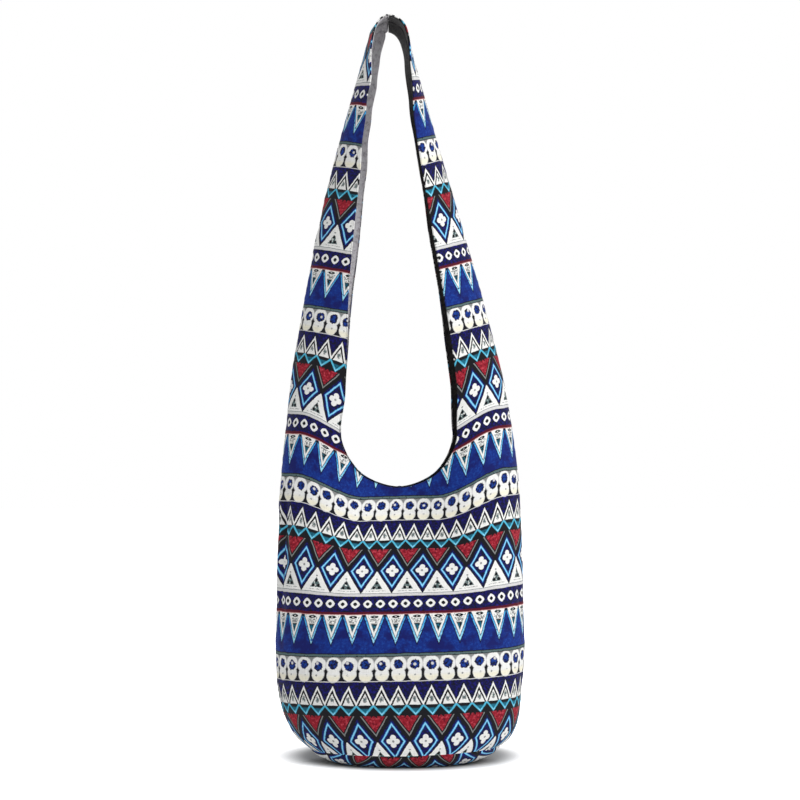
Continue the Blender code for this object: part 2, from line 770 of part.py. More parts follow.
def add_object(name, points, faces, materials, flip):
    """One closed body from points and (material index, corners) faces; flip mirrors it in Y."""
    bm = bmesh.new()
    verts = [bm.verts.new((p.x, -p.y if flip else p.y, p.z)) for p in points]
    for index, ring in faces:
        face = bm.faces.new([verts[i] for i in (reversed(ring) if flip else ring)])
        face.material_index = index
    bmesh.ops.triangulate(bm, faces=bm.faces[:])
    mesh = bpy.data.meshes.new(name)
    bm.to_mesh(mesh)
    bm.free()
    for material in materials:
        mesh.materials.append(material)
    obj = bpy.data.objects.new(name, mesh)
    bpy.context.scene.collection.objects.link(obj)
    mesh.shade_flat()
    return obj


def add_cloth(name, outer_net, inner_net, outset, thickness, materials, flip):
    """A cloth panel between two insets from the outer surface of the bag."""
    colours = list(materials)
    outer_places, outer_faces = outer_net
    inner_places, inner_faces = inner_net
    points = cloth_points(outer_places, outset, flip)
    count = len(points)
    points += cloth_points(inner_places, outset + thickness, flip)
    faces = [(colours.index(colour), ring) for colour, ring in outer_faces]
    faces += [(0, [i + count for i in reversed(ring)]) for _, ring in inner_faces]
    front = outline_loop(outer_places, outer_faces)
    back = outline_loop(inner_places, inner_faces)
    edges = edge_faces(front, [i + count for i in back],
                       shares_along(outer_places, front), shares_along(inner_places, back))
    faces += [(0, ring) for ring in edges]
    return add_object(name, points, faces, list(materials.values()), flip)


def rim_point(share):
    """The outer corner of the base seam, a share of the way round from the left seam."""
    turn = share % 1.0
    u = -HALF_PANEL + PANEL_WIDTH * 2 * (turn if turn < 0.5 else 1 - turn)
    place = outer_point(u, RIM_ROW)
    return Vector((place.x, place.y if turn < 0.5 else -place.y, place.z - GAP))


def base_point(share, dip, inset):
    """A point of the base: dip 0 is its rim, 1 the edge of its flat middle, 2 the centre."""
    def place(share, dip):
        rim = rim_point(share)
        angle = min(dip, 1.0) * math.pi / 2
        scale = 1 - BASE_ROUNDING * mix(1 - math.cos(angle), math.sin(angle), BASE_SLOPE)
        scale *= 1 - max(dip - 1.0, 0.0)
        return Vector((rim.x * scale, rim.y * scale, rim.z * (1 - math.sin(angle))))

    here = place(share, dip)
    if inset == 0:
        return here
    if dip >= 1.0:
        return here + Vector((0, 0, inset))
    around = place(share + BASE_STEP, dip) - place(share - BASE_STEP, dip)
    down = place(share, dip + BASE_STEP) - here
    out = down.cross(around).normalized()
    if dip == 0:
        out.z = 0
        out.normalize()
    return here - out * inset


def add_base(name, outset, thickness, materials, pattern):
    """The dished oval that closes the bottom."""
    points = []
    for inset in (outset, outset + thickness):
        for dip in BASE_DIPS:
            points += [base_point((i + 0.5) / BASE_SIDES, dip, inset) for i in range(BASE_SIDES)]
        points.append(base_point(0.0, 2.0, inset))
    layer = BASE_SIDES * len(BASE_DIPS) + 1
    colours = list(materials)
    faces = []
    for i in range(BASE_SIDES):
        j = (i + 1) % BASE_SIDES
        index = colours.index(pattern[i % len(pattern)])
        for k in range(len(BASE_DIPS) - 1):
            high = k * BASE_SIDES
            low = high + BASE_SIDES
            quad = [low + i, low + j, high + j, high + i]
            faces.append((index, quad))
            faces.append((0, [n + layer for n in reversed(quad)]))
        last = (len(BASE_DIPS) - 1) * BASE_SIDES
        fan = [layer - 1, last + j, last + i]
        faces.append((index, fan))
        faces.append((0, [n + layer for n in reversed(fan)]))
        faces.append((0, [i, j, j + layer, i + layer]))
    return add_object(name, points, faces, list(materials.values()), False)


def clear_scene():
    for obj in list(bpy.data.objects):
        bpy.data.objects.remove(obj, do_unlink=True)


def build():
    clear_scene()
    printed = printed_net()
    plain = plain_net()
    lining_at = PANEL_THICKNESS + GAP
    lining = {"navy": cloth_material("lining_cloth", LINING_COLOUR)}
    for name, flip in (("front_panel", False), ("back_panel", True)):
        cloth = {key: cloth_material(f"{name}_{key}", value) for key, value in COLOURS.items()}
        add_cloth(name, printed, plain, 0.0, PANEL_THICKNESS, cloth, flip)
    for name, flip in (("lining_front", False), ("lining_back", True)):
        add_cloth(name, plain, plain, lining_at, LINING_THICKNESS, lining, flip)
    cloth = {key: cloth_material(f"base_panel_{key}", value) for key, value in COLOURS.items()}
    pattern = ("white", "navy", "sky", "navy", "white", "red", "navy", "royal")
    add_base("base_panel", 0.0, PANEL_THICKNESS, cloth, pattern)
    add_base("lining_base", lining_at + GAP / 2, LINING_THICKNESS, lining, ("navy",))


build()
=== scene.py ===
"""Looks of the printed cotton shoulder bag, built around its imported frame.

Metres, +Z up, the front of the bag faces -Y. The cloth is drawn flat first: u runs
across a panel from its left seam to its right seam, and v runs up it from the lower
grey line of the print. surface() bends that flat place into the hanging bag, and every
mesh keeps its flat place as its UV map, so the print is drawn on the flat cloth.
"""

import math

import bpy
import numpy as np
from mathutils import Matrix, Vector


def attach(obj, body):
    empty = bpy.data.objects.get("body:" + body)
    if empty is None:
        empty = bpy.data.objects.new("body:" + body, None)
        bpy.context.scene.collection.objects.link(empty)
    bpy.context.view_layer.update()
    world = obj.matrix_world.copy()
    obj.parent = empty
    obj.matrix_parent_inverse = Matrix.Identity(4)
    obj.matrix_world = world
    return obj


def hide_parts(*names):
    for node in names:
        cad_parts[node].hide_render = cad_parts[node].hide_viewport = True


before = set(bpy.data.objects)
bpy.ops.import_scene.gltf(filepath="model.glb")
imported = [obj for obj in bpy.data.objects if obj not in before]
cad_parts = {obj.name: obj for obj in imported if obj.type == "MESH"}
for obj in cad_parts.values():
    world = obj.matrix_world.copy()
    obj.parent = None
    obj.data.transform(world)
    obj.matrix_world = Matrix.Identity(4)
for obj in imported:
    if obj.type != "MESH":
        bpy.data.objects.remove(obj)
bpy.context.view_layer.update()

# Cut of the cloth, as in the construction
PANEL_WIDTH = 0.350
HALF_PANEL = PANEL_WIDTH / 2
STRAP_ROOT_HALF = 0.0985
STRAP_TOP_HALF = 0.038
STRAP_TAPER = 1.15
MOUTH_CORNER = 0.054
MOUTH_SQUARENESS = 1.75
MOUTH_ABOVE_LINE = 0.0115

# Side seam as the bag hangs: half widths and heights
SEAM_POINTS = ((0.1060, 0.0155), (0.1228, 0.031), (0.1335, 0.055), (0.1392, 0.092),
               (0.1408, 0.140), (0.1360, 0.300), (0.1265, 0.392), (0.1172, 0.450),
               (0.0795, 0.6136), (0.0300, 0.7927))
CORNER_EASE = 0.5
BELLY_HEIGHT = 0.140
RIM_HEIGHT = 0.0155
ARCH_RADIUS = 0.022
OVERALL_HEIGHT = 0.840
HANG_OFFSET = -0.0133
HANG_SHIFT = (0.300, 0.720)
BASE_OFFSET = 0.005
BASE_SHIFT_ENDS = 0.085
STEPS_PER_POINT = 24
EASED_STEPS = 2 * STEPS_PER_POINT

# Depth and drape
RIM_FULLNESS = 1.2
BELLY_FULLNESS = 2.1
MOUTH_FULLNESS = 4.0
STRAP_FULLNESS = 6.0
RIM_DEPTH_SCALE = 0.626
MOUTH_RECESS = 0.023
RECESS_FROM_SEAM = 0.060
FRONT_SAG = 0.0303
SAG_FROM_SEAM = (0.035, 0.130)
SAG_GROWS = (0.140, 0.360)
SAG_ENDS = (0.385, 0.520)
LEAN_REACH = 0.10
BASE_ROUNDING = 0.34
BASE_SLOPE = 0.4
STRAP_FULL_BY = 0.5
STRAP_WIDE_BY = 0.8
LOWER_TURN = math.radians(20)
LOWER_TURN_BY = 0.5
UPPER_TURN = math.radians(12)
UPPER_TURN_OVER = (0.45, 0.85)
ARCH_TURN = math.radians(90)
ARCH_TURN_OVER = (0.80, 1.0)
LEFT_TOE = ((0.0060, 0.455, 0.600), (0.0030, 0.775, 0.800))
RIGHT_TOE = ((0.0042, 0.345, 0.440), (-0.0028, 0.475, 0.560), (-0.0014, 0.600, 0.660),
             (0.0040, 0.700, 0.780))
BACK_DROOP = 0.0065
DROOP_GROWS = (0.790, 0.828)
LEFT_SPREAD = ((0.0050, 0.400, 0.440), (-0.0030, 0.470, 0.560), (-0.0040, 0.670, 0.720),
               (0.0065, 0.745, 0.778))
RIGHT_SPREAD = ((-0.0040, 0.400, 0.450), (-0.0012, 0.700, 0.735), (0.0052, 0.755, 0.795))

# Print, in metres on the flat cloth
PRINT_ACROSS = -0.0100
PRINT_DRIFT = 0.011
STRAP_PRINT_DRIFT = 0.072
DRIFT_FROM = 0.1024
PRINT_ABOVE_RIM = 0.117
ROW_SKEW = 0.004
STRAP_DRAW_IN = 0.05
DRAW_IN_FROM = 0.27
PERIOD = 0.2001
RIM_ROW = -PRINT_ABOVE_RIM
MOUTH_ROW = PERIOD + MOUTH_ABOVE_LINE
ROOT_ROW = MOUTH_ROW + MOUTH_CORNER

CLOTH_THICK = 0.0014
LINING_THICK = 0.0006
LINING_INSET = 0.0018


def smooth(edge0, edge1, value):
    """Ease from 0 at edge0 to 1 at edge1."""
    t = np.clip((value - edge0) / (edge1 - edge0), 0.0, 1.0)
    return t * t * (3 - 2 * t)


def mix(a, b, t):
    return a + (b - a) * t


def hermite_run(points, steps):
    """Points of a smooth curve through the given points, steps to each stretch."""
    knots = [np.array(p) for p in points]
    slopes = []
    for i in range(len(knots)):
        before = knots[max(i - 1, 0)]
        after = knots[min(i + 1, len(knots) - 1)]
        slopes.append((after - before) / np.linalg.norm(after - before))
    run = []
    for a, b, ta, tb in zip(knots, knots[1:], slopes, slopes[1:]):
        length = np.linalg.norm(b - a)
        for i in range(steps):
            t = i / steps
            run.append((2 * t**3 - 3 * t**2 + 1) * a + (t**3 - 2 * t**2 + t) * length * ta
                       + (3 * t**2 - 2 * t**3) * b + (t**3 - t**2) * length * tb)
    run.append(knots[-1])
    return run


def seam_curve():
    """Half width and height along the side seam, from the rim to the shoulder seam.

    The cloth is eased round the corner above the rim, so its lengths there are short."""
    strap_mid = SEAM_POINTS[-1]
    crown = OVERALL_HEIGHT - ARCH_RADIUS
    reach = math.hypot(strap_mid[0], strap_mid[1] - crown)
    touch = math.atan2(strap_mid[1] - crown, strap_mid[0]) + math.acos(ARCH_RADIUS / reach)
    arch = [(ARCH_RADIUS * math.cos(a), crown + ARCH_RADIUS * math.sin(a))
            for a in np.linspace(touch, math.pi / 2, STEPS_PER_POINT)]
    run = np.array(hermite_run([*SEAM_POINTS, arch[0]], STEPS_PER_POINT)[:-1] + arch)
    steps = np.diff(run, axis=0)
    steps[:EASED_STEPS, 0] *= CORNER_EASE
    lengths = np.concatenate([[0.0], np.cumsum(np.linalg.norm(steps, axis=1))])
    return run, lengths, lengths[-len(arch)]


SEAM, SEAM_LENGTHS, ARCH_START = seam_curve()
SEAM_TOP = SEAM_LENGTHS[-1]
SEAM_SLOPE = np.gradient(SEAM, SEAM_LENGTHS, axis=0)


def seam_at(s):
    """Half width, height and inward lean of the seam at lengths s above the rim."""
    half = np.interp(s, SEAM_LENGTHS, SEAM[:, 0])
    height = np.interp(s, SEAM_LENGTHS, SEAM[:, 1])
    out = np.interp(s, SEAM_LENGTHS, SEAM_SLOPE[:, 0])
    rise = np.interp(s, SEAM_LENGTHS, SEAM_SLOPE[:, 1])
    return half, height, np.arctan2(-out, rise)


def seam_length(u, v):
    """Length above the rim, along the seam, at which the row through (u, v) starts."""
    drawn = v - STRAP_DRAW_IN * np.maximum(v - DRAW_IN_FROM, 0.0)
    return PRINT_ABOVE_RIM + drawn + ROW_SKEW * u / HALF_PANEL


MOUTH_LENGTH = float(seam_length(0.0, MOUTH_ROW))
BELLY_LENGTH = float(np.interp(BELLY_HEIGHT, SEAM[:, 1], SEAM_LENGTHS))


def strap_row_at(u, s):
    """The v on the strap whose row starts at length s."""
    plain = s - PRINT_ABOVE_RIM - ROW_SKEW * u / HALF_PANEL
    return (plain - STRAP_DRAW_IN * DRAW_IN_FROM) / (1 - STRAP_DRAW_IN)


BEND_STEPS = 12


def bend(d, fullness, turn):
    """Reach inwards and forwards of a row, at flat distance d from the seam.

    The heading of the cloth is summed along the row by Simpson's rule."""
    count = BEND_STEPS
    inward = 0.0
    forward = 0.0
    for i in range(count + 1):
        weight = 1 if i in (0, count) else (4 if i % 2 else 2)
        free = np.maximum(1 - d * i / count / HALF_PANEL, 0.0)
        angle = turn + (math.pi / 2 - turn) * free ** fullness
        inward = inward + weight * np.cos(angle)
        forward = forward + weight * np.sin(angle)
    return inward * d / count / 3, forward * d / count / 3


def surface(u, v):
    """Places in the bag of the flat places (u, v) on the front panel, before its folds."""
    side = np.where(u < 0, -1.0, 1.0)
    d = HALF_PANEL - np.abs(u)
    s = seam_length(u, v)
    half, height, lean = seam_at(s)
    up = smooth(BELLY_LENGTH, MOUTH_LENGTH, s)
    rise = (s - MOUTH_LENGTH) / (ARCH_START - MOUTH_LENGTH)
    low = smooth(0.0, BELLY_LENGTH, s)
    body_fullness = mix(mix(RIM_FULLNESS, BELLY_FULLNESS, low), MOUTH_FULLNESS, up)
    fullness = mix(body_fullness, STRAP_FULLNESS, smooth(0.0, STRAP_FULL_BY, rise))
    turn = LOWER_TURN * smooth(0.0, LOWER_TURN_BY, rise)
    turn = turn + UPPER_TURN * smooth(*UPPER_TURN_OVER, rise)
    turn = mix(turn, ARCH_TURN, smooth(*ARCH_TURN_OVER, rise))
    body_reach = bend(HALF_PANEL, body_fullness, 0.0)[0]
    body = seam_at(np.minimum(s, MOUTH_LENGTH))[0] / body_reach
    width = mix(body, 1.0, smooth(0.0, STRAP_WIDE_BY, rise))
    depth = mix(RIM_DEPTH_SCALE, 1.0, low)
    inward, forward = bend(d, fullness, turn)
    inward = inward * width
    tilt = lean * smooth(MOUTH_LENGTH, MOUTH_LENGTH + LEAN_REACH, s)
    sag = FRONT_SAG * smooth(*SAG_GROWS, height) * (1 - smooth(*SAG_ENDS, height))
    sag = sag * smooth(*SAG_FROM_SEAM, d)
    recess = MOUTH_RECESS * up * smooth(RECESS_FROM_SEAM, HALF_PANEL, d)
    middle = HANG_OFFSET * smooth(*HANG_SHIFT, height)
    middle = middle + BASE_OFFSET * (1 - smooth(RIM_HEIGHT, BASE_SHIFT_ENDS, height))
    x = middle + side * (half - inward * np.cos(tilt))
    spread = np.where(u < 0, stepped(LEFT_SPREAD, height), -stepped(RIGHT_SPREAD, height))
    x = x + spread * off_crown(half) * smooth(0.0, strap_half(v), d)
    y = -(forward * depth - recess)
    z = height - inward * np.sin(tilt) - sag
    return np.stack([x, y, z], axis=-1)


def off_crown(half):
    """0 at the crown of the arch, easing to 1 where the strap hangs from it."""
    return smooth(0.0, ARCH_RADIUS, half)


def stepped(terms, height):
    """Sum of amounts that each come in between two seam heights."""
    return sum(reach * smooth(low, high, height) for reach, low, high in terms)


def toe_in(u, v, widths):
    """How far sideways the back of each strap stands from its front."""
    half, height, _ = seam_at(seam_length(u, v))
    toe = np.where(u < 0, stepped(LEFT_TOE, height), -stepped(RIGHT_TOE, height))
    toe = toe * off_crown(half)
    return toe * smooth(0.0, 1.0, (HALF_PANEL - np.abs(u)) / widths)


def droop(u, v, widths):
    """How far the back edge of the arch hangs lower than its front edge."""
    _, height, _ = seam_at(seam_length(u, v))
    share = (HALF_PANEL - np.abs(u)) / widths
    return BACK_DROOP * smooth(*DROOP_GROWS, height) * smooth(0.0, 1.0, share)


def strap_half(v):
    """Flat width of a strap half between the side seam and its inner edge at rows v."""
    rise = (seam_length(0.0, v) - MOUTH_LENGTH) / (ARCH_START - MOUTH_LENGTH)
    run = np.clip(rise, 0.0, 1.0)
    return mix(STRAP_TOP_HALF, STRAP_ROOT_HALF, (1 - run) ** STRAP_TAPER)


# Fineness of the cloth meshes
COLUMNS = 56
ROW_PITCH = 0.003
CORNER_ROWS = 22
ROLL_STEPS = 5
SHOULDER_LAP = 0.0002
NEAR_ZERO = 1e-12
NO_BEYOND = 1e-9


def cloth_rows(side):
    """Rows up one half of a panel: v, and the flat width of the cloth from the side seam."""
    top = float(strap_row_at(side * HALF_PANEL, SEAM_TOP + SHOULDER_LAP))
    body = np.linspace(RIM_ROW, MOUTH_ROW, round((MOUTH_ROW - RIM_ROW) / ROW_PITCH) + 1)
    angles = np.linspace(0, math.pi / 2, CORNER_ROWS + 1)[1:]
    corner = MOUTH_ROW + MOUTH_CORNER * (1 - np.cos(angles) ** (2 / MOUTH_SQUARENESS))
    shares = np.sin(angles) ** (2 / MOUTH_SQUARENESS)
    strap = np.linspace(ROOT_ROW, top, round((top - ROOT_ROW) / ROW_PITCH) + 1)[1:]
    rows = np.concatenate([body, corner, strap])
    widths = np.concatenate([np.full(len(body), HALF_PANEL),
                             mix(HALF_PANEL, strap_half(corner), shares), strap_half(strap)])
    return rows, widths, len(body)


def bumps(rng, count, u_range, v_range, pitch, reach):
    """Seeded places, directions and strengths of soft short ripples."""
    return [(rng.uniform(*u_range), rng.uniform(*v_range), rng.uniform(0, math.pi),
             rng.uniform(*pitch), rng.uniform(*reach), rng.uniform(-1, 1)) for _ in range(count)]


def rippled(u, v, ripples):
    """Height of a sheet with those ripples at flat places (u, v)."""
    total = np.zeros(np.broadcast(u, v).shape)
    for cu, cv, angle, pitch, reach, strength in ripples:
        along = (u - cu) * math.cos(angle) + (v - cv) * math.sin(angle)
        away = ((u - cu) ** 2 + (v - cv) ** 2) / reach**2
        total += strength * np.cos(along * 2 * math.pi / pitch) * np.exp(-away)
    return total


# Shares of a crease's length over which it grows and ends
CREASE_GROWS = (-0.15, 0.25)
CREASE_ENDS = (0.75, 1.15)


def crease(u, v, start, end, width, height):
    """A soft ridge (or valley, where height is negative) along a line on the flat cloth."""
    run = np.array(end) - np.array(start)
    length = float(np.hypot(*run))
    along = ((u - start[0]) * run[0] + (v - start[1]) * run[1]) / length**2
    aside = ((u - start[0]) * run[1] - (v - start[1]) * run[0]) / length
    ends = smooth(*CREASE_GROWS, along) * (1 - smooth(*CREASE_ENDS, along))
    return height * np.exp(-(aside / width) ** 2) * ends


# Ripples of the cloth: how many, their pitch and reach, and how high they stand
FOLDS_UP_TO = 0.62
BROAD_COUNT = 60
BROAD_PITCH = (0.05, 0.12)
BROAD_REACH = (0.02, 0.05)
BROAD_LIFT = 0.0011
FINE_COUNT = 260
FINE_PITCH = (0.014, 0.035)
FINE_REACH = (0.008, 0.022)
FINE_LIFT = 0.00035

# Dip and puckers along the seams, and the ridge of the shoulder seam
SEAM_DIP = 0.0011
SEAM_DIP_REACH = 0.0022
PUCKER = 0.0006
PUCKER_PITCH = 0.013
PUCKER_REACH = 0.010
PUCKER_WAVES = 6
PUCKER_SPREAD = (0.7, 0.17)
SEAM_CLEAR = 0.004
SHOULDER_RIDGE = 0.0008
SHOULDER_REACH = 0.005


class Folds:
    """The folds and ripples of one panel, as heights above its smooth surface."""

    def __init__(self, seed, creases):
        rng = np.random.default_rng(seed)
        self.creases = creases
        across = (-HALF_PANEL, HALF_PANEL)
        rows = (RIM_ROW, FOLDS_UP_TO)
        self.broad = bumps(rng, BROAD_COUNT, across, rows, BROAD_PITCH, BROAD_REACH)
        self.fine = bumps(rng, FINE_COUNT, across, rows, FINE_PITCH, FINE_REACH)
        self.phases = rng.uniform(0, 2 * math.pi, PUCKER_WAVES)

    def height(self, u, v):
        d = HALF_PANEL - np.abs(u)
        total = BROAD_LIFT * rippled(u, v, self.broad) + FINE_LIFT * rippled(u, v, self.fine)
        for fold in self.creases:
            total = total + crease(u, v, *fold)
        wave = 0.0
        first, more = PUCKER_SPREAD
        for i, phase in enumerate(self.phases):
            wave = wave + np.cos(v * 2 * math.pi / (PUCKER_PITCH * (first + more * i)) + phase)
        total = total + PUCKER * wave / len(self.phases) * np.exp(-d / PUCKER_REACH)
        total = total * smooth(0.0, SEAM_CLEAR, d)
        total = total - SEAM_DIP * np.exp(-(d / SEAM_DIP_REACH) ** 2)
        to_shoulder = SEAM_TOP - seam_length(u, v)
        return total + SHOULDER_RIDGE * np.exp(-(to_shoulder / SHOULDER_REACH) ** 2)


SLOPE_STEP = 0.0004


def normals_at(u, v, top):
    """Outward normals of the smooth surface of the front panel."""
    below = np.maximum(v - SLOPE_STEP, RIM_ROW)
    above = np.minimum(v + SLOPE_STEP, top)
    across = surface(u + SLOPE_STEP, v) - surface(u - SLOPE_STEP, v)
    middle = np.abs(u) < 2 * SLOPE_STEP
    across[middle] = (1, 0, 0)
    up = surface(u, above) - surface(u, below)
    out = np.cross(across, up)
    out /= np.maximum(np.linalg.norm(out, axis=-1, keepdims=True), NEAR_ZERO)
    seam = (HALF_PANEL - np.abs(u)) < SLOPE_STEP
    out[seam, 1] = 0
    out /= np.maximum(np.linalg.norm(out, axis=-1, keepdims=True), NEAR_ZERO)
    return out


class Sheet:
    """Gathers points and quads of a closed sheet, with each point's flat place."""

    def __init__(self):
        self.points = []
        self.flats = []
        self.faces = []
        self.count = 0

    def add_grid(self, places, flats):
        """Adds a grid of points and returns their indices."""
        shape = places.shape[:2]
        index = np.arange(self.count, self.count + shape[0] * shape[1]).reshape(shape)
        self.points.append(places.reshape(-1, 3))
        self.flats.append(flats.reshape(-1, 2))
        self.count += shape[0] * shape[1]
        return index

    def add_quads(self, index, flip=False):
        """Adds the quads between the rows and columns of an index grid."""
        quads = np.stack([index[:-1, :-1], index[:-1, 1:], index[1:, 1:], index[1:, :-1]], -1)
        quads = quads.reshape(-1, 4)
        self.faces.append(quads[:, ::-1] if flip else quads)

    def build(self, name, mirror_y=False):
        points = np.concatenate(self.points)
        faces = [face for part in self.faces for face in part.tolist()]
        if mirror_y:
            points = points * (1, -1, 1)
            faces = [face[::-1] for face in faces]
        mesh = bpy.data.meshes.new(name)
        mesh.from_pydata(points.tolist(), [], faces)
        flats = np.concatenate(self.flats)
        layer = mesh.uv_layers.new(name="cloth")
        corners = np.empty(len(mesh.loops), dtype=np.int32)
        mesh.loops.foreach_get("vertex_index", corners)
        layer.data.foreach_set("uv", flats[corners].astype(np.float32).ravel())
        mesh.shade_smooth()
        obj = bpy.data.objects.new(name, mesh)
        bpy.context.scene.collection.objects.link(obj)
        return obj


RIM_DIP_FADE = 0.006
EDGE_SETBACK = 0.0012


def cloth_places(u, v, folds, top, inset):
    """Places on the bag of flat places, with the panel's folds, inset below its outer side."""
    out = normals_at(u, v, top)
    fade = smooth(0.0, RIM_DIP_FADE, v - RIM_ROW)
    lift = folds.height(u, v) * fade
    lift = lift - SEAM_DIP * np.exp(-((v - RIM_ROW) / SEAM_DIP_REACH) ** 2) * (1 - fade)
    return surface(u, v) + out * (lift - inset)[..., None], out


def panel_shell(name, folds, inset, thickness, setback, mirror_y):
    """A closed sheet of one panel: its outer side, its inner side and its rolled edges."""
    sheet = Sheet()
    sides = {}
    for side in (-1, 1):
        rows, widths, body_count = cloth_rows(side)
        widths = np.where(np.arange(len(rows)) >= body_count, widths - setback, widths)
        shares = np.linspace(0, 1, COLUMNS + 1)
        u = side * (HALF_PANEL - widths[:, None] * shares[None, :])
        v = np.repeat(rows[:, None], COLUMNS + 1, axis=1)
        v[body_count - 1] = v[body_count - 1] - setback
        top = float(rows[-1])
        flats = np.stack([u, v], axis=-1)
        outer, out = cloth_places(u, v, folds, top, inset)
        if mirror_y:
            outer[..., 0] += toe_in(u, v, widths[:, None])
            outer[..., 2] -= droop(u, v, widths[:, None])
        inner = outer - out * thickness
        outer_index = sheet.add_grid(outer, flats)
        inner_index = sheet.add_grid(inner, flats)
        if side > 0:
            outer_index[:body_count, -1] = sides[-1][0][:body_count, -1]
            inner_index[:body_count, -1] = sides[-1][1][:body_count, -1]
        sheet.add_quads(outer_index, flip=side > 0)
        sheet.add_quads(inner_index, flip=side < 0)
        sides[side] = outer_index, inner_index
        sheet.add_quads(np.stack([outer_index[:, 0], inner_index[:, 0]]), flip=side < 0)
        sheet.add_quads(np.stack([outer_index[-1], inner_index[-1]]), flip=side < 0)
        sheet.add_quads(np.stack([outer_index[0], inner_index[0]]), flip=side > 0)
        roll_edge(sheet, outer, inner, flats, outer_index, inner_index, body_count, side)
    return sheet.build(name, mirror_y)


def roll_edge(sheet, outer, inner, flats, outer_index, inner_index, body_count, side):
    """Closes the free inner edge of a half panel with a half-round roll."""
    rows = slice(body_count - 1, None)
    a = outer[rows, -1]
    b = inner[rows, -1]
    beyond = a - outer[rows, -2]
    beyond /= np.maximum(np.linalg.norm(beyond, axis=-1, keepdims=True), NO_BEYOND)
    beyond[0] = (0, 0, 1)
    half = np.linalg.norm(a - b, axis=-1, keepdims=True) / 2
    rings = [outer_index[rows, -1]]
    for i in range(1, ROLL_STEPS):
        turn = math.pi * i / ROLL_STEPS
        place = (a + b) / 2 + (a - b) / 2 * math.cos(turn) + beyond * half * math.sin(turn)
        rings.append(sheet.add_grid(place[None], flats[None, rows, -1])[0])
    rings.append(inner_index[rows, -1])
    sheet.add_quads(np.stack(rings), flip=side > 0)


# Ends of each crease on the flat cloth, its half width and its height
FRONT_CREASES = (
    ((-0.153, 0.050), (-0.151, 0.185), 0.0035, -0.0045),
    ((-0.160, 0.060), (-0.158, 0.180), 0.0040, 0.0020),
    ((-0.147, 0.020), (-0.142, 0.170), 0.0045, -0.0022),
    ((-0.134, 0.090), (-0.138, 0.200), 0.0050, 0.0016),
    ((0.152, 0.030), (0.148, 0.120), 0.0040, -0.0016),
    ((-0.122, 0.160), (-0.086, 0.212), 0.0060, -0.0014),
    ((0.122, 0.160), (0.088, 0.212), 0.0060, -0.0014),
)
FRONT_SEED = 11
BACK_SEED = 23
FRONT_FOLDS = Folds(FRONT_SEED, FRONT_CREASES)
BACK_FOLDS = Folds(BACK_SEED, ())

front = panel_shell("printed_front", FRONT_FOLDS, 0.0, CLOTH_THICK, 0.0, False)
back = panel_shell("printed_back", BACK_FOLDS, 0.0, CLOTH_THICK, 0.0, True)
front_lining = panel_shell("front_lining", FRONT_FOLDS, LINING_INSET, LINING_THICK,
                           EDGE_SETBACK, False)
back_lining = panel_shell("back_lining", BACK_FOLDS, LINING_INSET, LINING_THICK,
                          EDGE_SETBACK, True)

BASE_TURNS = 240
BASE_DIP_STEPS = 20
BASE_MIDDLE_STEPS = 14
BASE_PRINT_TURN = (1.0, -1.0)
BASE_PRINT_AT = (-0.0125, 0.064)
BASE_STEEP_BY = 0.35
BASE_BULGE = 0.0010
BULGE_GROWS = (0.0, 0.12)
BULGE_ENDS = (0.2, 0.7)


def base_shell(name, inset, thickness):
    """The dished oval base as a closed sheet, from its seam with the panels."""
    turns = (np.arange(BASE_TURNS) + 0.5) / BASE_TURNS
    reach = np.where(turns < 0.5, turns, 1 - turns)
    u = -HALF_PANEL + PANEL_WIDTH * 2 * reach
    rim, _ = cloth_places(u, np.full(BASE_TURNS, RIM_ROW), FRONT_FOLDS, ROOT_ROW, 0.0)
    rim[:, 1] = np.where(turns < 0.5, rim[:, 1], -rim[:, 1])
    dips = np.concatenate([np.linspace(0, 1, BASE_DIP_STEPS + 1),
                           1 + np.linspace(0, 1, BASE_MIDDLE_STEPS + 1)[1:-1]])
    angle = np.minimum(dips, 1.0) * math.pi / 2
    scale = 1 - BASE_ROUNDING * mix(1 - np.cos(angle), np.sin(angle), BASE_SLOPE)
    scale = scale * (1 - np.maximum(dips - 1.0, 0.0))
    x = rim[None, :, 0] * scale[:, None]
    y = rim[None, :, 1] * scale[:, None]
    z = rim[None, :, 2] * (1 - np.sin(angle))[:, None]
    places = np.stack([x, y, z], axis=-1)
    around = np.roll(places, -1, axis=1) - np.roll(places, 1, axis=1)
    down = np.gradient(places, axis=0)
    out = np.cross(down, around)
    out[..., 2] *= smooth(0.0, BASE_STEEP_BY, dips)[:, None]
    out /= np.linalg.norm(out, axis=-1, keepdims=True)
    bulge = BASE_BULGE * (smooth(*BULGE_GROWS, dips) * (1 - smooth(*BULGE_ENDS, dips)))
    places = places + out * bulge[:, None, None]
    steps = np.linalg.norm(np.diff(places, axis=0), axis=-1)
    to_rim = np.concatenate([np.zeros((1, BASE_TURNS)), np.cumsum(steps, axis=0)])
    reach = to_rim[-1] + np.linalg.norm(places[-1, :, :2], axis=-1) - to_rim
    heading = rim[:, :2] / np.linalg.norm(rim[:, :2], axis=-1, keepdims=True)
    flats = reach[..., None] * heading[None] * BASE_PRINT_TURN + BASE_PRINT_AT
    sheet = Sheet()
    layers = []
    for depth in (inset, inset + thickness):
        layer = places - out * depth
        index = sheet.add_grid(layer, flats)
        centre = layer[-1].mean(axis=0)
        middle = sheet.add_grid(centre[None, None], flats[-1].mean(axis=0)[None, None])[0, 0]
        layers.append((np.concatenate([index, index[:, :1]], axis=1), middle))
    for (index, middle), flip in zip(layers, (True, False)):
        sheet.add_quads(index, flip=flip)
        fan = np.stack([index[-1, :-1], index[-1, 1:], np.full(BASE_TURNS, middle)], -1)
        sheet.faces.append(fan[:, ::-1] if flip else fan)
    sheet.add_quads(np.stack([layers[0][0][0], layers[1][0][0]]), flip=False)
    return sheet.build(name)


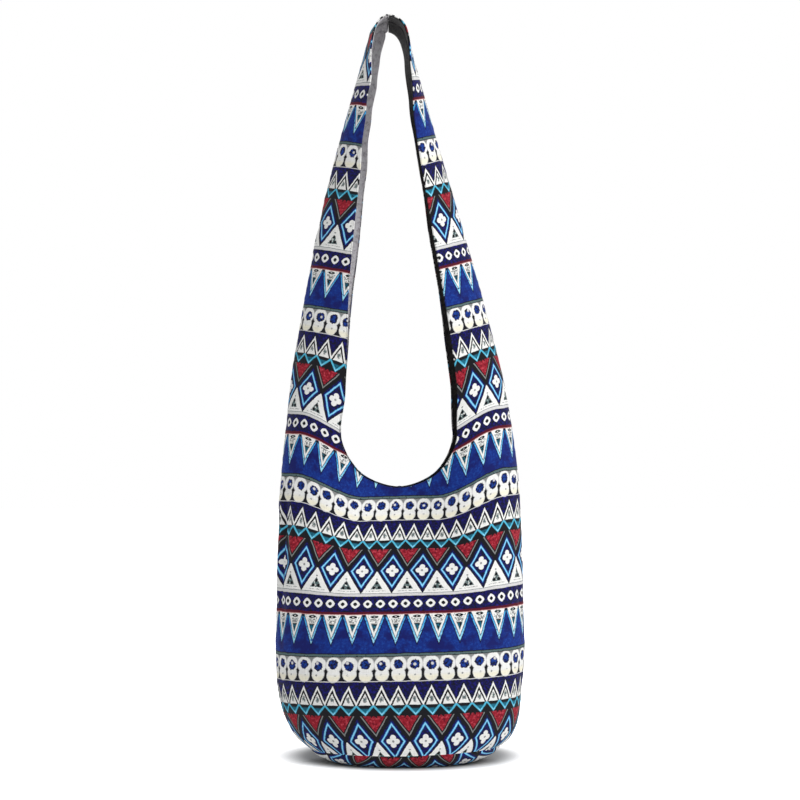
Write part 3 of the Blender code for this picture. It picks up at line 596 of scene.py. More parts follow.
base = base_shell("printed_base", 0.0, CLOTH_THICK)
base_lining = base_shell("base_lining", LINING_INSET, LINING_THICK)


class Value:
    """A number in a material's node tree, with arithmetic that adds Math nodes."""

    def __init__(self, tree, socket):
        self.tree = tree
        self.socket = socket

    def math(self, operation, *others, clamp=False):
        node = self.tree.nodes.new("ShaderNodeMath")
        node.operation = operation
        node.use_clamp = clamp
        for slot, other in zip(node.inputs, (self, *others)):
            if isinstance(other, Value):
                self.tree.links.new(other.socket, slot)
            else:
                slot.default_value = other
        return Value(self.tree, node.outputs[0])

    def __add__(self, other):
        return self.math("ADD", other)

    def __sub__(self, other):
        return self.math("SUBTRACT", other)

    def __mul__(self, other):
        return self.math("MULTIPLY", other)

    def __truediv__(self, other):
        return self.math("DIVIDE", other)

    def least(self, other):
        return self.math("MINIMUM", other)

    def most(self, other):
        return self.math("MAXIMUM", other)

    def size(self):
        return self.math("ABSOLUTE")

    def beside(self, centre, pitch):
        """Distance to the nearest of the lines at centre, centre + pitch and so on."""
        return (self - centre).math("PINGPONG", pitch / 2)

    def above(self, edge, soft=0.3):
        """1 above the edge and 0 below it, over a soft width."""
        return self.math("MULTIPLY_ADD", 1 / soft, 0.5 - edge / soft, clamp=True)

    def below(self, edge, soft=0.3):
        return self.math("MULTIPLY_ADD", -1 / soft, 0.5 + edge / soft, clamp=True)

    def within(self, low, high, soft=0.3):
        return (self - (low + high) / 2).size().below((high - low) / 2, soft)

    def reach(self, other):
        """Length of the vector (self, other)."""
        return (self * self + other * other).math("SQRT")


def noise(tree, vector, scale, detail=2.0, roughness=0.5):
    node = tree.nodes.new("ShaderNodeTexNoise")
    node.inputs["Scale"].default_value = scale
    node.inputs["Detail"].default_value = detail
    node.inputs["Roughness"].default_value = roughness
    tree.links.new(vector, node.inputs["Vector"])
    return Value(tree, node.outputs["Fac"])


def stretched(tree, vector, across, up, offset=0.0):
    """The flat place scaled by across and up, for streaks along the threads."""
    node = tree.nodes.new("ShaderNodeMapping")
    node.inputs["Scale"].default_value = (across, up, 1.0)
    node.inputs["Location"].default_value = (offset, offset, offset)
    tree.links.new(vector, node.inputs["Vector"])
    return node.outputs["Vector"]


class Ink:
    """A colour built up in layers, each laid where its mask is 1."""

    def __init__(self, tree, colour):
        self.tree = tree
        self.colour = tuple(colour)

    def put(self, node_input, colour):
        if isinstance(colour, tuple):
            node_input.default_value = (*colour, 1.0)
        else:
            self.tree.links.new(colour, node_input)

    def lay(self, mask, colour, blend="MIX"):
        node = self.tree.nodes.new("ShaderNodeMix")
        node.data_type = "RGBA"
        node.blend_type = blend
        node.clamp_factor = True
        if isinstance(mask, Value):
            self.tree.links.new(mask.socket, node.inputs["Factor"])
        else:
            node.inputs["Factor"].default_value = mask
        self.put(node.inputs["A"], self.colour)
        self.put(node.inputs["B"], colour.colour if isinstance(colour, Ink) else tuple(colour))
        self.colour = node.outputs["Result"]
        return self


def linear(red, green, blue):
    """A colour in the renderer's linear values, from the usual 0 to 255 ones."""
    return tuple((c / 255) ** 2.2 for c in (red, green, blue))


NAVY = linear(11, 13, 60)
BLACK = linear(4, 5, 16)
ROYAL = linear(18, 46, 126)
INDIGO = linear(30, 26, 118)
BLUE = linear(36, 82, 168)
ROYAL_PALE = linear(26, 66, 152)
ROYAL_DEEP = linear(18, 28, 98)
SKY = linear(78, 172, 232)
PALE_SKY = linear(158, 226, 252)
TEAL = linear(34, 108, 132)
CYAN = linear(88, 190, 222)
RED = linear(150, 28, 44)
PINK = linear(196, 72, 84)
MAROON = linear(84, 12, 34)
ROSE = linear(196, 130, 128)
SLATE = linear(88, 108, 108)
GREY = linear(138, 140, 138)
PALE = linear(222, 220, 218)
WHITE = linear(248, 247, 243)
CREAM = linear(250, 244, 222)

# Print, in millimetres on the flat cloth, with heights above its lower grey line
MM = 1000.0
PRINT_TOP = 198.1
WANDER = 1.6
SHAKE_ACROSS = 0.9
SHAKE_UP = 0.7
STRAY = 1.4

# Grey line, and the blue spikes that rise from it; edges count outwards from a spike's side
GREY_LINE = 1.2
GREY_LINE_EDGE = 2.2
SPIKE_PITCH = 23.4
SPIKE_AT = -7.7
SPIKE_SHIFT = -10.7
SPIKE_FOOT = 14.2
SPIKE_TIP = 46.7
SPIKE_NAVY = (-1.7, -0.3)
SPIKE_SKY = (-0.6, 1.3)
SPIKE_BLACK = (1.1, 1.8)
SPIKE_WHITE = 1.7
SPIKE_GLOW = (26.0, 14.0)
HEART_EDGE = 3.9
HEART_BLACK_TO = 35.5
HEART_TEAL_TO = 34.0
HEART_GREY = (36.2, 41.2)
BAR_AT = 43.6
BAR_FLATNESS = 2.6
BAR_RING = (1.2, 4.4)
SCRIBBLE_EDGE = 3.0
SCRIBBLE_FROM = 38.0
TIP_BLACK = (-1.8, 0.9)
TIP_BLACK_FROM = 43.2

# Maroon edge and the ring band
ROSE_LINE = (46.2, 47.0)
MAROON_EDGE = (46.9, 49.8)
RING_PITCH = 14.04
RING_AT = -5.3
RING_SHIFTS = (7.0, -2.3)
RING_MIDDLE = 59.5
RING_SQUARE_SHARE = 0.35
RING_RADIUS = 5.3
RING_HOLE = 2.3
PALE_STRIPE = (69.2, 72.6)
SLATE_LINE = (72.4, 73.3)

# Big diamonds, with white triangles below and red ones above
DIAMOND_ROWS = (73.0, 132.5)
DIAMOND_PITCH = 35.1
DIAMOND_MIDDLE = 102.4
DIAMOND_BELOW = 30.0
DIAMOND_ABOVE = 28.5
TRIANGLE_SLATE_FROM = 78.0
TRIANGLE_SLATE_TO = 90.0
TRIANGLE_SLATE_SLOPE = 1.75
TRIANGLE_TOP_DOT = 86.0
TRIANGLE_LOW_DOTS = 80.2
TRIANGLE_DOTS_ASIDE = 3.0
TRIANGLE_DOT_RADIUS = 1.9
PEAK_MARK_AT = 91.5
PEAK_MARK_SHAPE = (0.6, 0.8)
PEAK_MARK_RADIUS = 0.7
TRIANGLE_LINE = (75.4, 76.3)
TRIANGLE_LINE_HALF = 11.0
RED_BLACK_EDGE = 0.95
RED_GREY_LINE = (1.20, 1.28)
RED_EDGE = 1.37
NOTCH_TOP = 132.6
NOTCH_SLOPE = 1.1
NOTCH_HALF = 3.4
NEST_BLACK = 1.0
NEST_NAVY = 0.92
NEST_BLUE = 0.79
NEST_SKY = 0.76
NEST_PALE_LINE = (0.66, 0.73)
NEST_CORE = 0.62
PETAL_AT = (3.9, 4.4)
PETAL_SHAPE = 1.05
PETAL_RADIUS = 3.4
FLOWER_CORE = 5.4
FLOWER_EYE = 1.2

# Teal chevrons and the white zigzag above them
NARROW_PITCH = 17.55
ZIGZAG_SHIFT = -4.3
CHEVRON_ROWS = (131.8, 144.2)
CHEVRON_RISE = 10.3
TEAL_TOP = 143.8
TEAL_EDGE = 0.5
TEAL_ROWS = (130.0, 140.2)
CYAN_HALF = 1.0
CYAN_ROWS = (131.0, 145.0)
GLINT_HALF = 0.4
GLINT_ROWS = (131.5, 136.0)
ZIGZAG_FROM = 144.0
ZIGZAG_TIP = 166.2
ZIGZAG_DROP = 3.6
ZIGZAG_EDGE = (-1.0, -0.1)
ZIGZAG_BLACK = (1.9, 3.7)
ZIGZAG_MARK_AT = 150.4
ZIGZAG_MARK_SHAPE = (1.1, 0.7)
ZIGZAG_MARK_RADIUS = 2.5
ZIGZAG_MARK_CORE = 1.2

# Scallops with their dark spots: each is a round head over a round foot
SCALLOP_BASE = 170.7
SCALLOP_LINE = (170.3, 171.2)
SCALLOP_SHIFT = 6.4
SCALLOP_GREY_FROM = 186.0
SCALLOP_DRAWS = (12.9898, 78.233)
SCALLOP_ROUGHNESS = 1.2
HEAD_AT = 189.6
HEAD_STRAY = 0.5
HEAD_SHAPE = 0.98
HEAD_RADII = (9.2, 8.4)
FOOT_AT = 178.6
FOOT_STRAY = 0.7
FOOT_SHAPE = (1.12, 1.02)
FOOT_RADII = (8.5, 7.8)
FOOT_CREAM_TO = 177.5
SPOT_AT = 189.2
SPOT_STRAY = 0.9
SPOT_SHAPE = 0.95
SPOT_ROUGHNESS = (5.0, 4.0)
SPOT_RADIUS = 5.2
SPOT_CORE = 4.0
FLECK_STRAY = (2.6, 2.4)
FLECK_RADIUS = 1.6
FLECK_SHARE = -0.2
FOOT_FLECK_AT = 178.0
FOOT_FLECK_STRAY = 2.0
FOOT_FLECK_RADIUS = 1.1


def print_colour(tree, vector):
    """The printed colour at a flat place, built up from its bands of simple shapes."""
    split = tree.nodes.new("ShaderNodeSeparateXYZ")
    tree.links.new(vector, split.inputs[0])
    wander = noise(tree, vector, 55.0, 1.0) - 0.5
    shake = noise(tree, stretched(tree, vector, 1, 1, 3.1), 420.0, 1.0) - 0.5
    height = Value(tree, split.outputs[1]) - DRIFT_FROM
    drift = height * PRINT_DRIFT + height.most(0.0) * STRAP_PRINT_DRIFT
    across = (Value(tree, split.outputs[0]) - PRINT_ACROSS - drift) * MM
    across = across + wander * WANDER + shake * SHAKE_ACROSS
    stray = noise(tree, stretched(tree, vector, 1, 1, 7.7), 70.0, 1.0) - 0.5
    level_up = Value(tree, split.outputs[1]) * MM
    repeat = level_up.within(0.0, PERIOD * MM)
    second = level_up.above(PERIOD * MM)
    up = level_up + stray * STRAY - shake * SHAKE_UP
    up = up.math("WRAP", PRINT_TOP, PRINT_TOP - PERIOD * MM)
    mottle = noise(tree, vector, 330.0, 3.0, 0.65)
    cloudy = noise(tree, stretched(tree, vector, 1, 1, 5.3), 60.0, 3.0, 0.6)
    scribble = noise(tree, stretched(tree, vector, 1.6, 1.0, 11.0), 330.0, 1.0, 0.4)

    # Mottled inks
    deep = Ink(tree, NAVY).lay(mottle.above(0.57, 0.12), INDIGO)
    deep.lay(mottle.below(0.42, 0.10), BLACK)
    royal = Ink(tree, ROYAL).lay(mottle.above(0.56, 0.14), ROYAL_PALE)
    royal.lay(cloudy.below(0.47, 0.14), ROYAL_DEEP)
    red = Ink(tree, RED).lay(mottle.above(0.58, 0.12), PINK)
    red.lay(mottle.below(0.40, 0.10), MAROON)
    sky = Ink(tree, SKY).lay(up.below(*SPIKE_GLOW), PALE_SKY)
    sky.lay(mottle.below(0.42, 0.1), BLUE)
    ink = Ink(tree, NAVY).lay(1.0, deep)

    # Grey line and the blue spikes that rise from it
    low = up.below(SPIKE_TIP)
    ink.lay(low, royal)
    aside = (across - repeat * SPIKE_SHIFT).beside(SPIKE_AT, SPIKE_PITCH)
    slope = (SPIKE_TIP - SPIKE_FOOT) / (SPIKE_PITCH / 2)
    over = (up - SPIKE_FOOT - aside * slope) * (1 / math.hypot(1, slope))
    ink.lay(over.within(*SPIKE_NAVY).least(low), NAVY)
    ink.lay(over.above(SPIKE_SKY[0]).least(low).least(over.below(SPIKE_SKY[1])), sky)
    ink.lay(over.within(*SPIKE_BLACK).least(low), BLACK)
    ink.lay(over.above(SPIKE_WHITE).least(low), WHITE)
    heart = over.above(HEART_EDGE, 0.6).least(low)
    ink.lay(heart.least(up.below(HEART_BLACK_TO, 1.5)), BLACK)
    ink.lay(heart.least(up.below(HEART_TEAL_TO, 1.5)).least(scribble.above(0.50, 0.1)), TEAL)
    ink.lay(heart.least(up.within(*HEART_GREY)).least(scribble.above(0.50, 0.08)), GREY)
    ink.lay(aside.reach((up - BAR_AT) * BAR_FLATNESS).within(*BAR_RING, 0.6), BLACK)
    scribbled = over.above(SCRIBBLE_EDGE).least(up.above(SCRIBBLE_FROM))
    ink.lay(scribbled.least(scribble.below(0.36, 0.05)).least(low), SLATE)
    ink.lay(over.within(*TIP_BLACK).least(up.above(TIP_BLACK_FROM, 2.0)).least(low), BLACK)
    ink.lay(up.below(GREY_LINE_EDGE), BLACK)
    ink.lay(up.within(-GREY_LINE, GREY_LINE).least(mottle.above(0.38, 0.1)), SLATE)

    # Maroon edge and the ring band
    ink.lay(up.within(*MAROON_EDGE), MAROON)
    ink.lay(up.within(*ROSE_LINE), ROSE)
    shifted = across - repeat * RING_SHIFTS[0] - second * RING_SHIFTS[1]
    aside = shifted.beside(RING_AT, RING_PITCH)
    level = (up - RING_MIDDLE).size()
    ring = (aside + level) * RING_SQUARE_SHARE + aside.reach(level) * (1 - RING_SQUARE_SHARE)
    ink.lay(ring.below(RING_RADIUS), WHITE)
    ink.lay(ring.below(RING_HOLE), BLACK)
    ink.lay(up.within(*PALE_STRIPE), PALE)
    ink.lay(up.within(*SLATE_LINE).least(mottle.above(0.47, 0.08)), SLATE)

    # Big diamonds between white triangles below and red ones above
    aside = across.beside(0.0, DIAMOND_PITCH)
    gap = across.beside(DIAMOND_PITCH / 2, DIAMOND_PITCH)
    rise = up - DIAMOND_MIDDLE
    sides = aside * (2 / DIAMOND_PITCH)
    under = sides - rise * (1 / DIAMOND_BELOW)
    upper = sides + rise * (1 / DIAMOND_ABOVE)
    nest = under.most(upper)
    band = up.within(*DIAMOND_ROWS)
    ink.lay(band.least(under.above(1.0, 0.02)), WHITE)
    peak = (up + gap * TRIANGLE_SLATE_SLOPE).below(TRIANGLE_SLATE_TO, 1.0)
    slate = band.least(up.above(TRIANGLE_SLATE_FROM)).least(peak)
    ink.lay(slate.least(scribble.above(0.40, 0.08)), SLATE)
    top_dot = gap.reach(up - TRIANGLE_TOP_DOT)
    low_dots = (gap - TRIANGLE_DOTS_ASIDE).reach(up - TRIANGLE_LOW_DOTS)
    ink.lay(top_dot.least(low_dots).below(TRIANGLE_DOT_RADIUS, 0.7), BLACK)
    mark = (gap * PEAK_MARK_SHAPE[0]).reach((up - PEAK_MARK_AT) * PEAK_MARK_SHAPE[1])
    ink.lay(mark.below(PEAK_MARK_RADIUS), GREY)
    line = up.within(*TRIANGLE_LINE).least(gap.below(TRIANGLE_LINE_HALF))
    ink.lay(line.least(mottle.above(0.5, 0.1)), GREY)
    ink.lay(band.least(upper.above(RED_BLACK_EDGE, 0.02)), BLACK)
    ink.lay(band.least(upper.within(*RED_GREY_LINE, 0.03)), GREY)
    notch = (up + gap * NOTCH_SLOPE).below(NOTCH_TOP).most(gap.above(NOTCH_HALF))
    ink.lay(band.least(upper.above(RED_EDGE, 0.02)).least(notch), red)
    ink.lay(band.least(nest.below(NEST_BLACK, 0.02)), BLACK)
    ink.lay(band.least(nest.below(NEST_NAVY, 0.03)), deep)
    ink.lay(band.least(nest.below(NEST_BLUE, 0.03)), BLUE)
    ink.lay(band.least(nest.below(NEST_SKY, 0.03)), SKY)
    ink.lay(band.least(nest.within(*NEST_PALE_LINE, 0.03)), PALE_SKY)
    ink.lay(band.least(nest.below(NEST_CORE, 0.03)), deep)
    level = rise.size()
    side_petals = (aside - PETAL_AT[0]).reach(level * PETAL_SHAPE)
    petals = side_petals.least((aside * PETAL_SHAPE).reach(level - PETAL_AT[1]))
    ink.lay(petals.below(PETAL_RADIUS).most((aside + level).below(FLOWER_CORE)), WHITE)
    ink.lay(aside.reach(rise).below(FLOWER_EYE, 0.8), GREY)

    # Teal chevrons
    ink.lay(up.within(*CHEVRON_ROWS), BLACK)
    narrow = across - repeat * ZIGZAG_SHIFT
    aside = narrow.beside(DIAMOND_PITCH / 2, NARROW_PITCH)
    slope = CHEVRON_RISE / (NARROW_PITCH / 2)
    over = (up - TEAL_TOP + aside * slope) * (1 / math.hypot(1, slope))
    inside = over.above(TEAL_EDGE).least(up.within(*TEAL_ROWS, 1.5))
    ink.lay(inside.least(mottle.above(0.40, 0.1)), TEAL)
    ink.lay(over.within(-CYAN_HALF, CYAN_HALF, 0.7).least(up.within(*CYAN_ROWS)), CYAN)
    ink.lay(over.within(-GLINT_HALF, GLINT_HALF).least(up.within(*GLINT_ROWS, 2.0)), PALE_SKY)

    # White zigzag above them
    zig = up.within(ZIGZAG_FROM, SCALLOP_BASE)
    ink.lay(zig, deep)
    aside = narrow.beside(NARROW_PITCH / 2, NARROW_PITCH)
    slope = (ZIGZAG_TIP - TEAL_TOP - ZIGZAG_DROP) / (NARROW_PITCH / 2)
    over = (up * -1 + ZIGZAG_TIP - aside * slope) * (1 / math.hypot(1, slope))
    ink.lay(zig.least(over.above(0.0)), WHITE)
    ink.lay(zig.least(over.within(*ZIGZAG_BLACK)), BLACK)
    mark = (aside * ZIGZAG_MARK_SHAPE[0]).reach((up - ZIGZAG_MARK_AT) * ZIGZAG_MARK_SHAPE[1])
    ink.lay(mark.below(ZIGZAG_MARK_RADIUS, 0.8).least(scribble.above(0.44, 0.08)), GREY)
    ink.lay(mark.below(ZIGZAG_MARK_CORE, 0.8), SLATE)
    ink.lay(zig.least(over.within(*ZIGZAG_EDGE)), BLACK)

    # Scallops with their dark spots; each draws its own small offsets
    narrow = across - repeat * SCALLOP_SHIFT
    aside = narrow.beside(NARROW_PITCH / 2, NARROW_PITCH)
    ink.lay(up.above(SCALLOP_BASE), BLACK)
    ink.lay(up.above(SCALLOP_GREY_FROM, 3.0), GREY)
    cell = ((narrow - NARROW_PITCH) * (1 / NARROW_PITCH)).math("FLOOR")
    draw = (cell * SCALLOP_DRAWS[0]).math("SINE")
    second_draw = (cell * SCALLOP_DRAWS[1]).math("SINE")
    rough = (mottle - 0.5) * SCALLOP_ROUGHNESS
    head = aside.reach((up - HEAD_AT - draw * HEAD_STRAY) * HEAD_SHAPE) + rough
    foot_up = (up - FOOT_AT - second_draw * FOOT_STRAY) * FOOT_SHAPE[1]
    foot = (aside * FOOT_SHAPE[0]).reach(foot_up) + rough
    ink.lay(head.below(HEAD_RADII[0], 0.5), PALE)
    ink.lay(foot.below(FOOT_RADII[0], 0.5), PALE)
    ink.lay(head.below(HEAD_RADII[1], 0.5), WHITE)
    ink.lay(foot.below(FOOT_RADII[1], 0.5), WHITE)
    ink.lay(foot.below(FOOT_RADII[1], 0.5).least(up.below(FOOT_CREAM_TO, 4.0)), CREAM)
    sideways = narrow - (cell + 1.5) * NARROW_PITCH
    spot_up = up - SPOT_AT
    spot = (sideways - draw * SPOT_STRAY).reach(spot_up * SPOT_SHAPE + second_draw)
    spot = spot + (mottle - 0.5) * SPOT_ROUGHNESS[0] + (cloudy - 0.5) * SPOT_ROUGHNESS[1]
    ink.lay(spot.below(SPOT_RADIUS, 0.6), deep)
    ink.lay(spot.below(SPOT_CORE, 0.6).least(mottle.above(0.50, 0.1)), ROYAL_PALE)
    fleck = (sideways - draw * FLECK_STRAY[0]).reach(spot_up - second_draw * FLECK_STRAY[1])
    ink.lay(fleck.below(FLECK_RADIUS, 0.7).least(second_draw.above(FLECK_SHARE, 0.1)), PALE)
    foot_fleck = (sideways + second_draw * FOOT_FLECK_STRAY).reach(up - FOOT_FLECK_AT)
    ink.lay(foot_fleck.below(FOOT_FLECK_RADIUS, 0.6).least(mottle.above(0.5, 0.1)), GREY)
    ink.lay(up.within(*SCALLOP_LINE), PALE)
    return ink, mottle


def woven(tree, vector, pitch):
    """Height of a plain weave of that thread pitch, from 0 to 1."""
    split = tree.nodes.new("ShaderNodeSeparateXYZ")
    tree.links.new(vector, split.inputs[0])
    turn = math.pi / pitch
    warp = (Value(tree, split.outputs[0]) * turn).math("SINE")
    weft = (Value(tree, split.outputs[1]) * turn).math("SINE")
    return warp * weft * 0.5 + 0.5


THREAD = 0.0006
THREAD_FINE = 1400
THREAD_LONG = 90
WEAVE_SHARE = 0.5
MOTTLE_LIFT = 0.4
THREAD_SHADE = (0.64, 0.30)
SHEEN_ROUGHNESS = 0.5
CLOTH_SPECULAR = 0.25
WEAVE_STRENGTH = 0.5
WEAVE_LIFT = 0.0004


def cloth_material(name, paint, roughness, sheen):
    """Woven cotton: paint() gives its colours, and threads and slubs its fine relief."""
    material = bpy.data.materials.new(name)
    material.use_nodes = True
    tree = material.node_tree
    shader = tree.nodes["Principled BSDF"]
    flat = tree.nodes.new("ShaderNodeUVMap")
    flat.uv_map = "cloth"
    vector = flat.outputs["UV"]
    ink, mottle = paint(tree, vector)
    weave = woven(tree, vector, THREAD)
    slub = noise(tree, stretched(tree, vector, THREAD_LONG, THREAD_FINE), 1.0, 2.0)
    cross = noise(tree, stretched(tree, vector, THREAD_FINE, THREAD_LONG, 5.0), 1.0, 2.0)
    threads = slub + cross + weave * WEAVE_SHARE
    shade = tree.nodes.new("ShaderNodeMix")
    shade.data_type = "RGBA"
    shade.blend_type = "MULTIPLY"
    shade.inputs["Factor"].default_value = 1.0
    tree.links.new(ink.colour, shade.inputs["A"])
    ramp = threads * THREAD_SHADE[1] + THREAD_SHADE[0]
    grey = tree.nodes.new("ShaderNodeCombineColor")
    for channel in grey.inputs[:3]:
        tree.links.new(ramp.socket, channel)
    tree.links.new(grey.outputs[0], shade.inputs["B"])
    tree.links.new(shade.outputs["Result"], shader.inputs["Base Color"])
    shader.inputs["Roughness"].default_value = roughness
    shader.inputs["Sheen Weight"].default_value = sheen
    shader.inputs["Sheen Roughness"].default_value = SHEEN_ROUGHNESS
    shader.inputs["Specular IOR Level"].default_value = CLOTH_SPECULAR
    bump = tree.nodes.new("ShaderNodeBump")
    bump.inputs["Strength"].default_value = WEAVE_STRENGTH
    bump.inputs["Distance"].default_value = WEAVE_LIFT
    tree.links.new((threads + mottle * MOTTLE_LIFT).socket, bump.inputs["Height"])
    tree.links.new(bump.outputs[0], shader.inputs["Normal"])
    return material


LINING = linear(32, 30, 31)
LINING_PALE = linear(50, 47, 45)
LINING_DEEP = linear(16, 14, 15)
# Painted light: the pale, lit colours laid on the lining of the left strap
PAINTED_LIGHT = linear(240, 235, 240)
PAINTED_LIGHT_PALE = linear(250, 247, 250)
PAINTED_LIGHT_DEEP = linear(200, 194, 199)

# Painted light on the lining, pale along the inner edge of the left strap, in millimetres on the
# flat cloth; each height has its softness
PAINTED_LIGHT_REACH = 13.0
PAINTED_LIGHT_FADE = 16.0
PAINTED_LIGHT_LEAST = 0.12
PAINTED_LIGHT_MORE = 22.0
PAINTED_LIGHT_MORE_FROM = (650.0, 40.0)
PAINTED_LIGHT_LEFT_OF = (-40.0, 30.0)
PAINTED_LIGHT_ROWS = (280.0, 900.0, 80.0)
LESS_PAINTED_LIGHT = 0.35
LESS_PAINTED_LIGHT_FROM = (752.0, 24.0)
BLOTCHES = (0.85, 0.25)


def lining_colour(tree, vector):
    """Dark lining, with painted light that makes it pale along the inner edge of the left strap."""
    split = tree.nodes.new("ShaderNodeSeparateXYZ")
    tree.links.new(vector, split.inputs[0])
    across = Value(tree, split.outputs[0])
    up = Value(tree, split.outputs[1])
    mouth_row = MOUTH_LENGTH - float(seam_length(0.0, 0.0))
    strap_rows = ARCH_START - MOUTH_LENGTH
    run = (up - mouth_row).math("MULTIPLY", 1 / strap_rows, clamp=True)
    width = (run * -1 + 1).math("POWER", STRAP_TAPER)
    width = width * ((STRAP_ROOT_HALF - STRAP_TOP_HALF) * MM) + STRAP_TOP_HALF * MM
    from_seam = across * MM + HALF_PANEL * MM
    from_edge = width - from_seam - (up * MM).above(*PAINTED_LIGHT_MORE_FROM) * PAINTED_LIGHT_MORE
    edge = from_edge.below(PAINTED_LIGHT_REACH, PAINTED_LIGHT_FADE) * (1 - PAINTED_LIGHT_LEAST) + PAINTED_LIGHT_LEAST
    mottle = noise(tree, vector, 160.0, 4.0, 0.7)
    blotch = noise(tree, stretched(tree, vector, 1.0, 0.35, 2.0), 70.0, 2.0)
    ink = Ink(tree, LINING)
    ink.lay(mottle.above(0.54, 0.12), LINING_PALE)
    ink.lay(mottle.below(0.42, 0.12), LINING_DEEP)
    # Painted light: the lit colour of the lining, mottled like the lining itself
    painted_light = Ink(tree, PAINTED_LIGHT)
    painted_light.lay(mottle.above(0.52, 0.15), PAINTED_LIGHT_PALE)
    painted_light.lay(mottle.below(0.42, 0.12), PAINTED_LIGHT_DEEP)
    left = (across * MM).below(*PAINTED_LIGHT_LEFT_OF)
    strap = (up * MM).within(*PAINTED_LIGHT_ROWS)
    # Less painted light towards the top of the arch
    near_top = (up * MM).above(*LESS_PAINTED_LIGHT_FROM) * LESS_PAINTED_LIGHT
    painted_light_share = blotch * BLOTCHES[1] + BLOTCHES[0] - near_top
    # Lays the painted light on the left strap's lining near its inner edge
    ink.lay(left.least(strap).least(edge) * painted_light_share, painted_light)
    return ink, mottle


print_cloth = cloth_material("printed_cotton", print_colour, 0.85, 0.03)
lining_cloth = cloth_material("lining_cotton", lining_colour, 0.9, 0.15)

# Flat outline of each sheet, width by length, and the area of its cloth
PANEL_FLAT = (PANEL_WIDTH, 0.854)
PANEL_AREA = 0.171
PANEL_LINING_AREA = 0.165
BASE_FLAT = (0.240, 0.130)
BASE_AREA = 0.024
BASE_LINING_FLAT = (0.230, 0.122)
BASE_LINING_AREA = 0.022
PIECES = (
    (front, "front_panel", "printed_cotton", print_cloth, PANEL_FLAT, PANEL_AREA),
    (back, "back_panel", "printed_cotton", print_cloth, PANEL_FLAT, PANEL_AREA),
    (base, "base_panel", "printed_cotton", print_cloth, BASE_FLAT, BASE_AREA),
    (front_lining, "lining_front", "lining_cotton", lining_cloth, PANEL_FLAT, PANEL_LINING_AREA),
    (back_lining, "lining_back", "lining_cotton", lining_cloth, PANEL_FLAT, PANEL_LINING_AREA),
    (base_lining, "lining_base", "lining_cotton", lining_cloth, BASE_LINING_FLAT, BASE_LINING_AREA),
)
for piece, node, slot_name, material, flat, area in PIECES:
    piece.data.materials.append(material)
    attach(piece, "root")
    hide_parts(node)


# Camera at the photograph's place
CAMERA_AWAY = 2.6
CAMERA_TURN = math.radians(-0.8)
CAMERA_HEIGHT = 0.4096
FRAME_WIDTH = 0.9066
SENSOR = 36.0

camera = bpy.data.objects.new("camera", bpy.data.cameras.new("camera"))
camera.data.sensor_width = SENSOR
camera.data.lens = SENSOR * CAMERA_AWAY / FRAME_WIDTH
camera.location = (CAMERA_AWAY * math.sin(CAMERA_TURN), -CAMERA_AWAY * math.cos(CAMERA_TURN),
                   CAMERA_HEIGHT)
camera.rotation_euler = (math.pi / 2, 0, CAMERA_TURN)
bpy.context.scene.collection.objects.link(camera)
bpy.context.scene.camera = camera


def add_area(name, place, target, size, power):
    """A square lamp at place that shines towards target."""
    lamp = bpy.data.lights.new(name, "AREA")
    lamp.size = size
    lamp.energy = power
    obj = bpy.data.objects.new(name, lamp)
    obj.location = place
    direction = Vector(target) - Vector(place)
    obj.rotation_euler = direction.to_track_quat("-Z", "Y").to_euler()
    bpy.context.scene.collection.objects.link(obj)


# Name, place, target, size and power of each lamp
LAMPS = (
    ("key", (1.95, -1.65, 1.7), (0, 0, 0.4), 1.2, 46),
    ("fill", (-1.8, -1.8, 1.0), (0, 0, 0.4), 1.6, 7),
    ("rear", (0.3, 1.6, 2.0), (0, 0, 0.5), 1.4, 14),
)
for lamp_terms in LAMPS:
    add_area(*lamp_terms)

# Light from all round, and the floor with the shade under the bag
AMBIENT = 0.45
AMBIENT_COLOUR = (0.95, 0.97, 1.0, 1.0)
WHITE_BACKDROP = (1, 1, 1, 1)
FLOOR_COLOUR = (0.80, 0.80, 0.80)
FLOOR_ROUGHNESS = 0.9
FLOOR_SPECULAR = 0.1
SHADED_SHARE = 0.36
SHADOW_ASIDE = 0.004
SHADOW_MIDDLE = 0.046
SHADOW_HALF = (0.140, 0.117)
SHADE_OVER = (0.70, 1.05)
CLEAR_OVER = (0.78, 1.20)
FLOOR_REACH = 6.0


def seen_directly(tree):
    """1 for rays from the camera, from mirrors and through glass, and 0 for light on the bag."""
    path = tree.nodes.new("ShaderNodeLightPath")
    seen = Value(tree, path.outputs["Is Camera Ray"])
    for ray in ("Is Glossy Ray", "Is Transmission Ray"):
        seen = seen.most(Value(tree, path.outputs[ray]))
    return seen


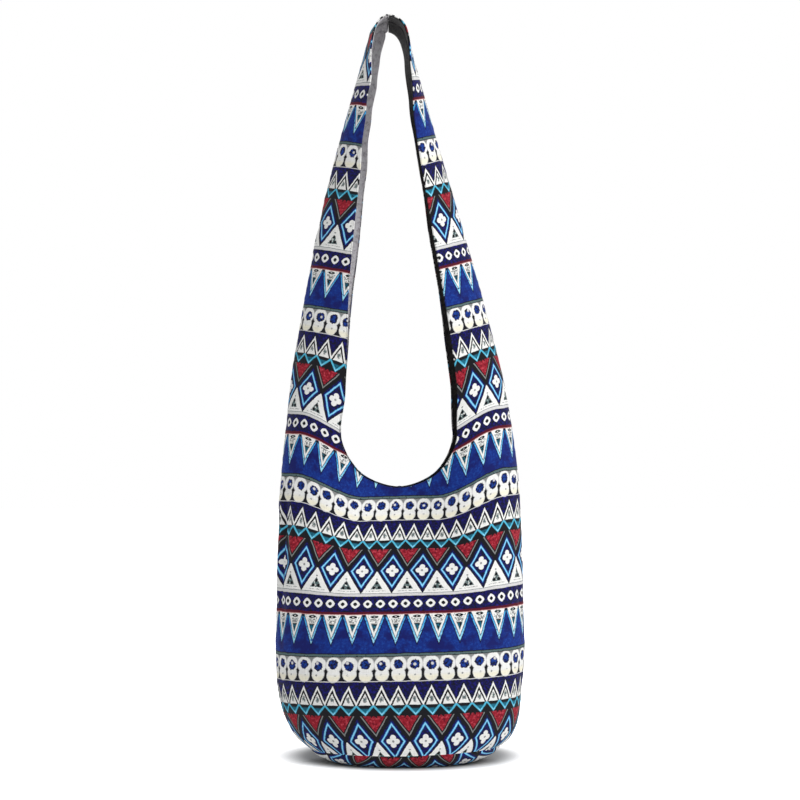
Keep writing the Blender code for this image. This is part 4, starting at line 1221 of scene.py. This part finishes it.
world = bpy.data.worlds.new("studio")
bpy.context.scene.world = world
world.use_nodes = True
sky_tree = world.node_tree
ambient = sky_tree.nodes["Background"]
ambient.inputs["Color"].default_value = AMBIENT_COLOUR
ambient.inputs["Strength"].default_value = AMBIENT
backdrop = sky_tree.nodes.new("ShaderNodeBackground")
backdrop.inputs["Color"].default_value = WHITE_BACKDROP
backdrop.inputs["Strength"].default_value = 1.0
choose = sky_tree.nodes.new("ShaderNodeMixShader")
sky_tree.links.new(seen_directly(sky_tree).socket, choose.inputs[0])
sky_tree.links.new(ambient.outputs[0], choose.inputs[1])
sky_tree.links.new(backdrop.outputs[0], choose.inputs[2])
sky_tree.links.new(choose.outputs[0], sky_tree.nodes["World Output"].inputs["Surface"])


def eased(tree, value, start, end):
    """0 below start and 1 above end, with an eased change between."""
    node = tree.nodes.new("ShaderNodeMapRange")
    node.interpolation_type = "SMOOTHSTEP"
    node.inputs["From Min"].default_value = start
    node.inputs["From Max"].default_value = end
    tree.links.new(value.socket, node.inputs["Value"])
    return Value(tree, node.outputs[0])


def floor_material():
    """Pale floor with the soft shade that the bag gives it, plain white away from the bag."""
    material = bpy.data.materials.new("floor")
    material.use_nodes = True
    tree = material.node_tree
    shader = tree.nodes["Principled BSDF"]
    shader.inputs["Roughness"].default_value = FLOOR_ROUGHNESS
    shader.inputs["Specular IOR Level"].default_value = FLOOR_SPECULAR
    place = tree.nodes.new("ShaderNodeTexCoord")
    split = tree.nodes.new("ShaderNodeSeparateXYZ")
    tree.links.new(place.outputs["Object"], split.inputs[0])
    across = (Value(tree, split.outputs[0]) - SHADOW_ASIDE) * (1 / SHADOW_HALF[0])
    back = (Value(tree, split.outputs[1]) - SHADOW_MIDDLE) * (1 / SHADOW_HALF[1])
    away = across.reach(back)
    shaded = tuple(SHADED_SHARE * c for c in FLOOR_COLOUR)
    colour = Ink(tree, shaded).lay(eased(tree, away, *SHADE_OVER), FLOOR_COLOUR)
    tree.links.new(colour.colour, shader.inputs["Base Color"])
    lift = eased(tree, away, *CLEAR_OVER) * seen_directly(tree)
    shader.inputs["Emission Color"].default_value = WHITE_BACKDROP
    tree.links.new(lift.socket, shader.inputs["Emission Strength"])
    return material


floor_mesh = bpy.data.meshes.new("floor")
floor_corners = [(-FLOOR_REACH, -FLOOR_REACH, 0), (FLOOR_REACH, -FLOOR_REACH, 0),
                 (FLOOR_REACH, FLOOR_REACH, 0), (-FLOOR_REACH, FLOOR_REACH, 0)]
floor_mesh.from_pydata(floor_corners, [], [(0, 1, 2, 3)])
floor = bpy.data.objects.new("floor", floor_mesh)
bpy.context.scene.collection.objects.link(floor)
floor.data.materials.append(floor_material())

bpy.context.scene.view_settings.view_transform = "Standard"
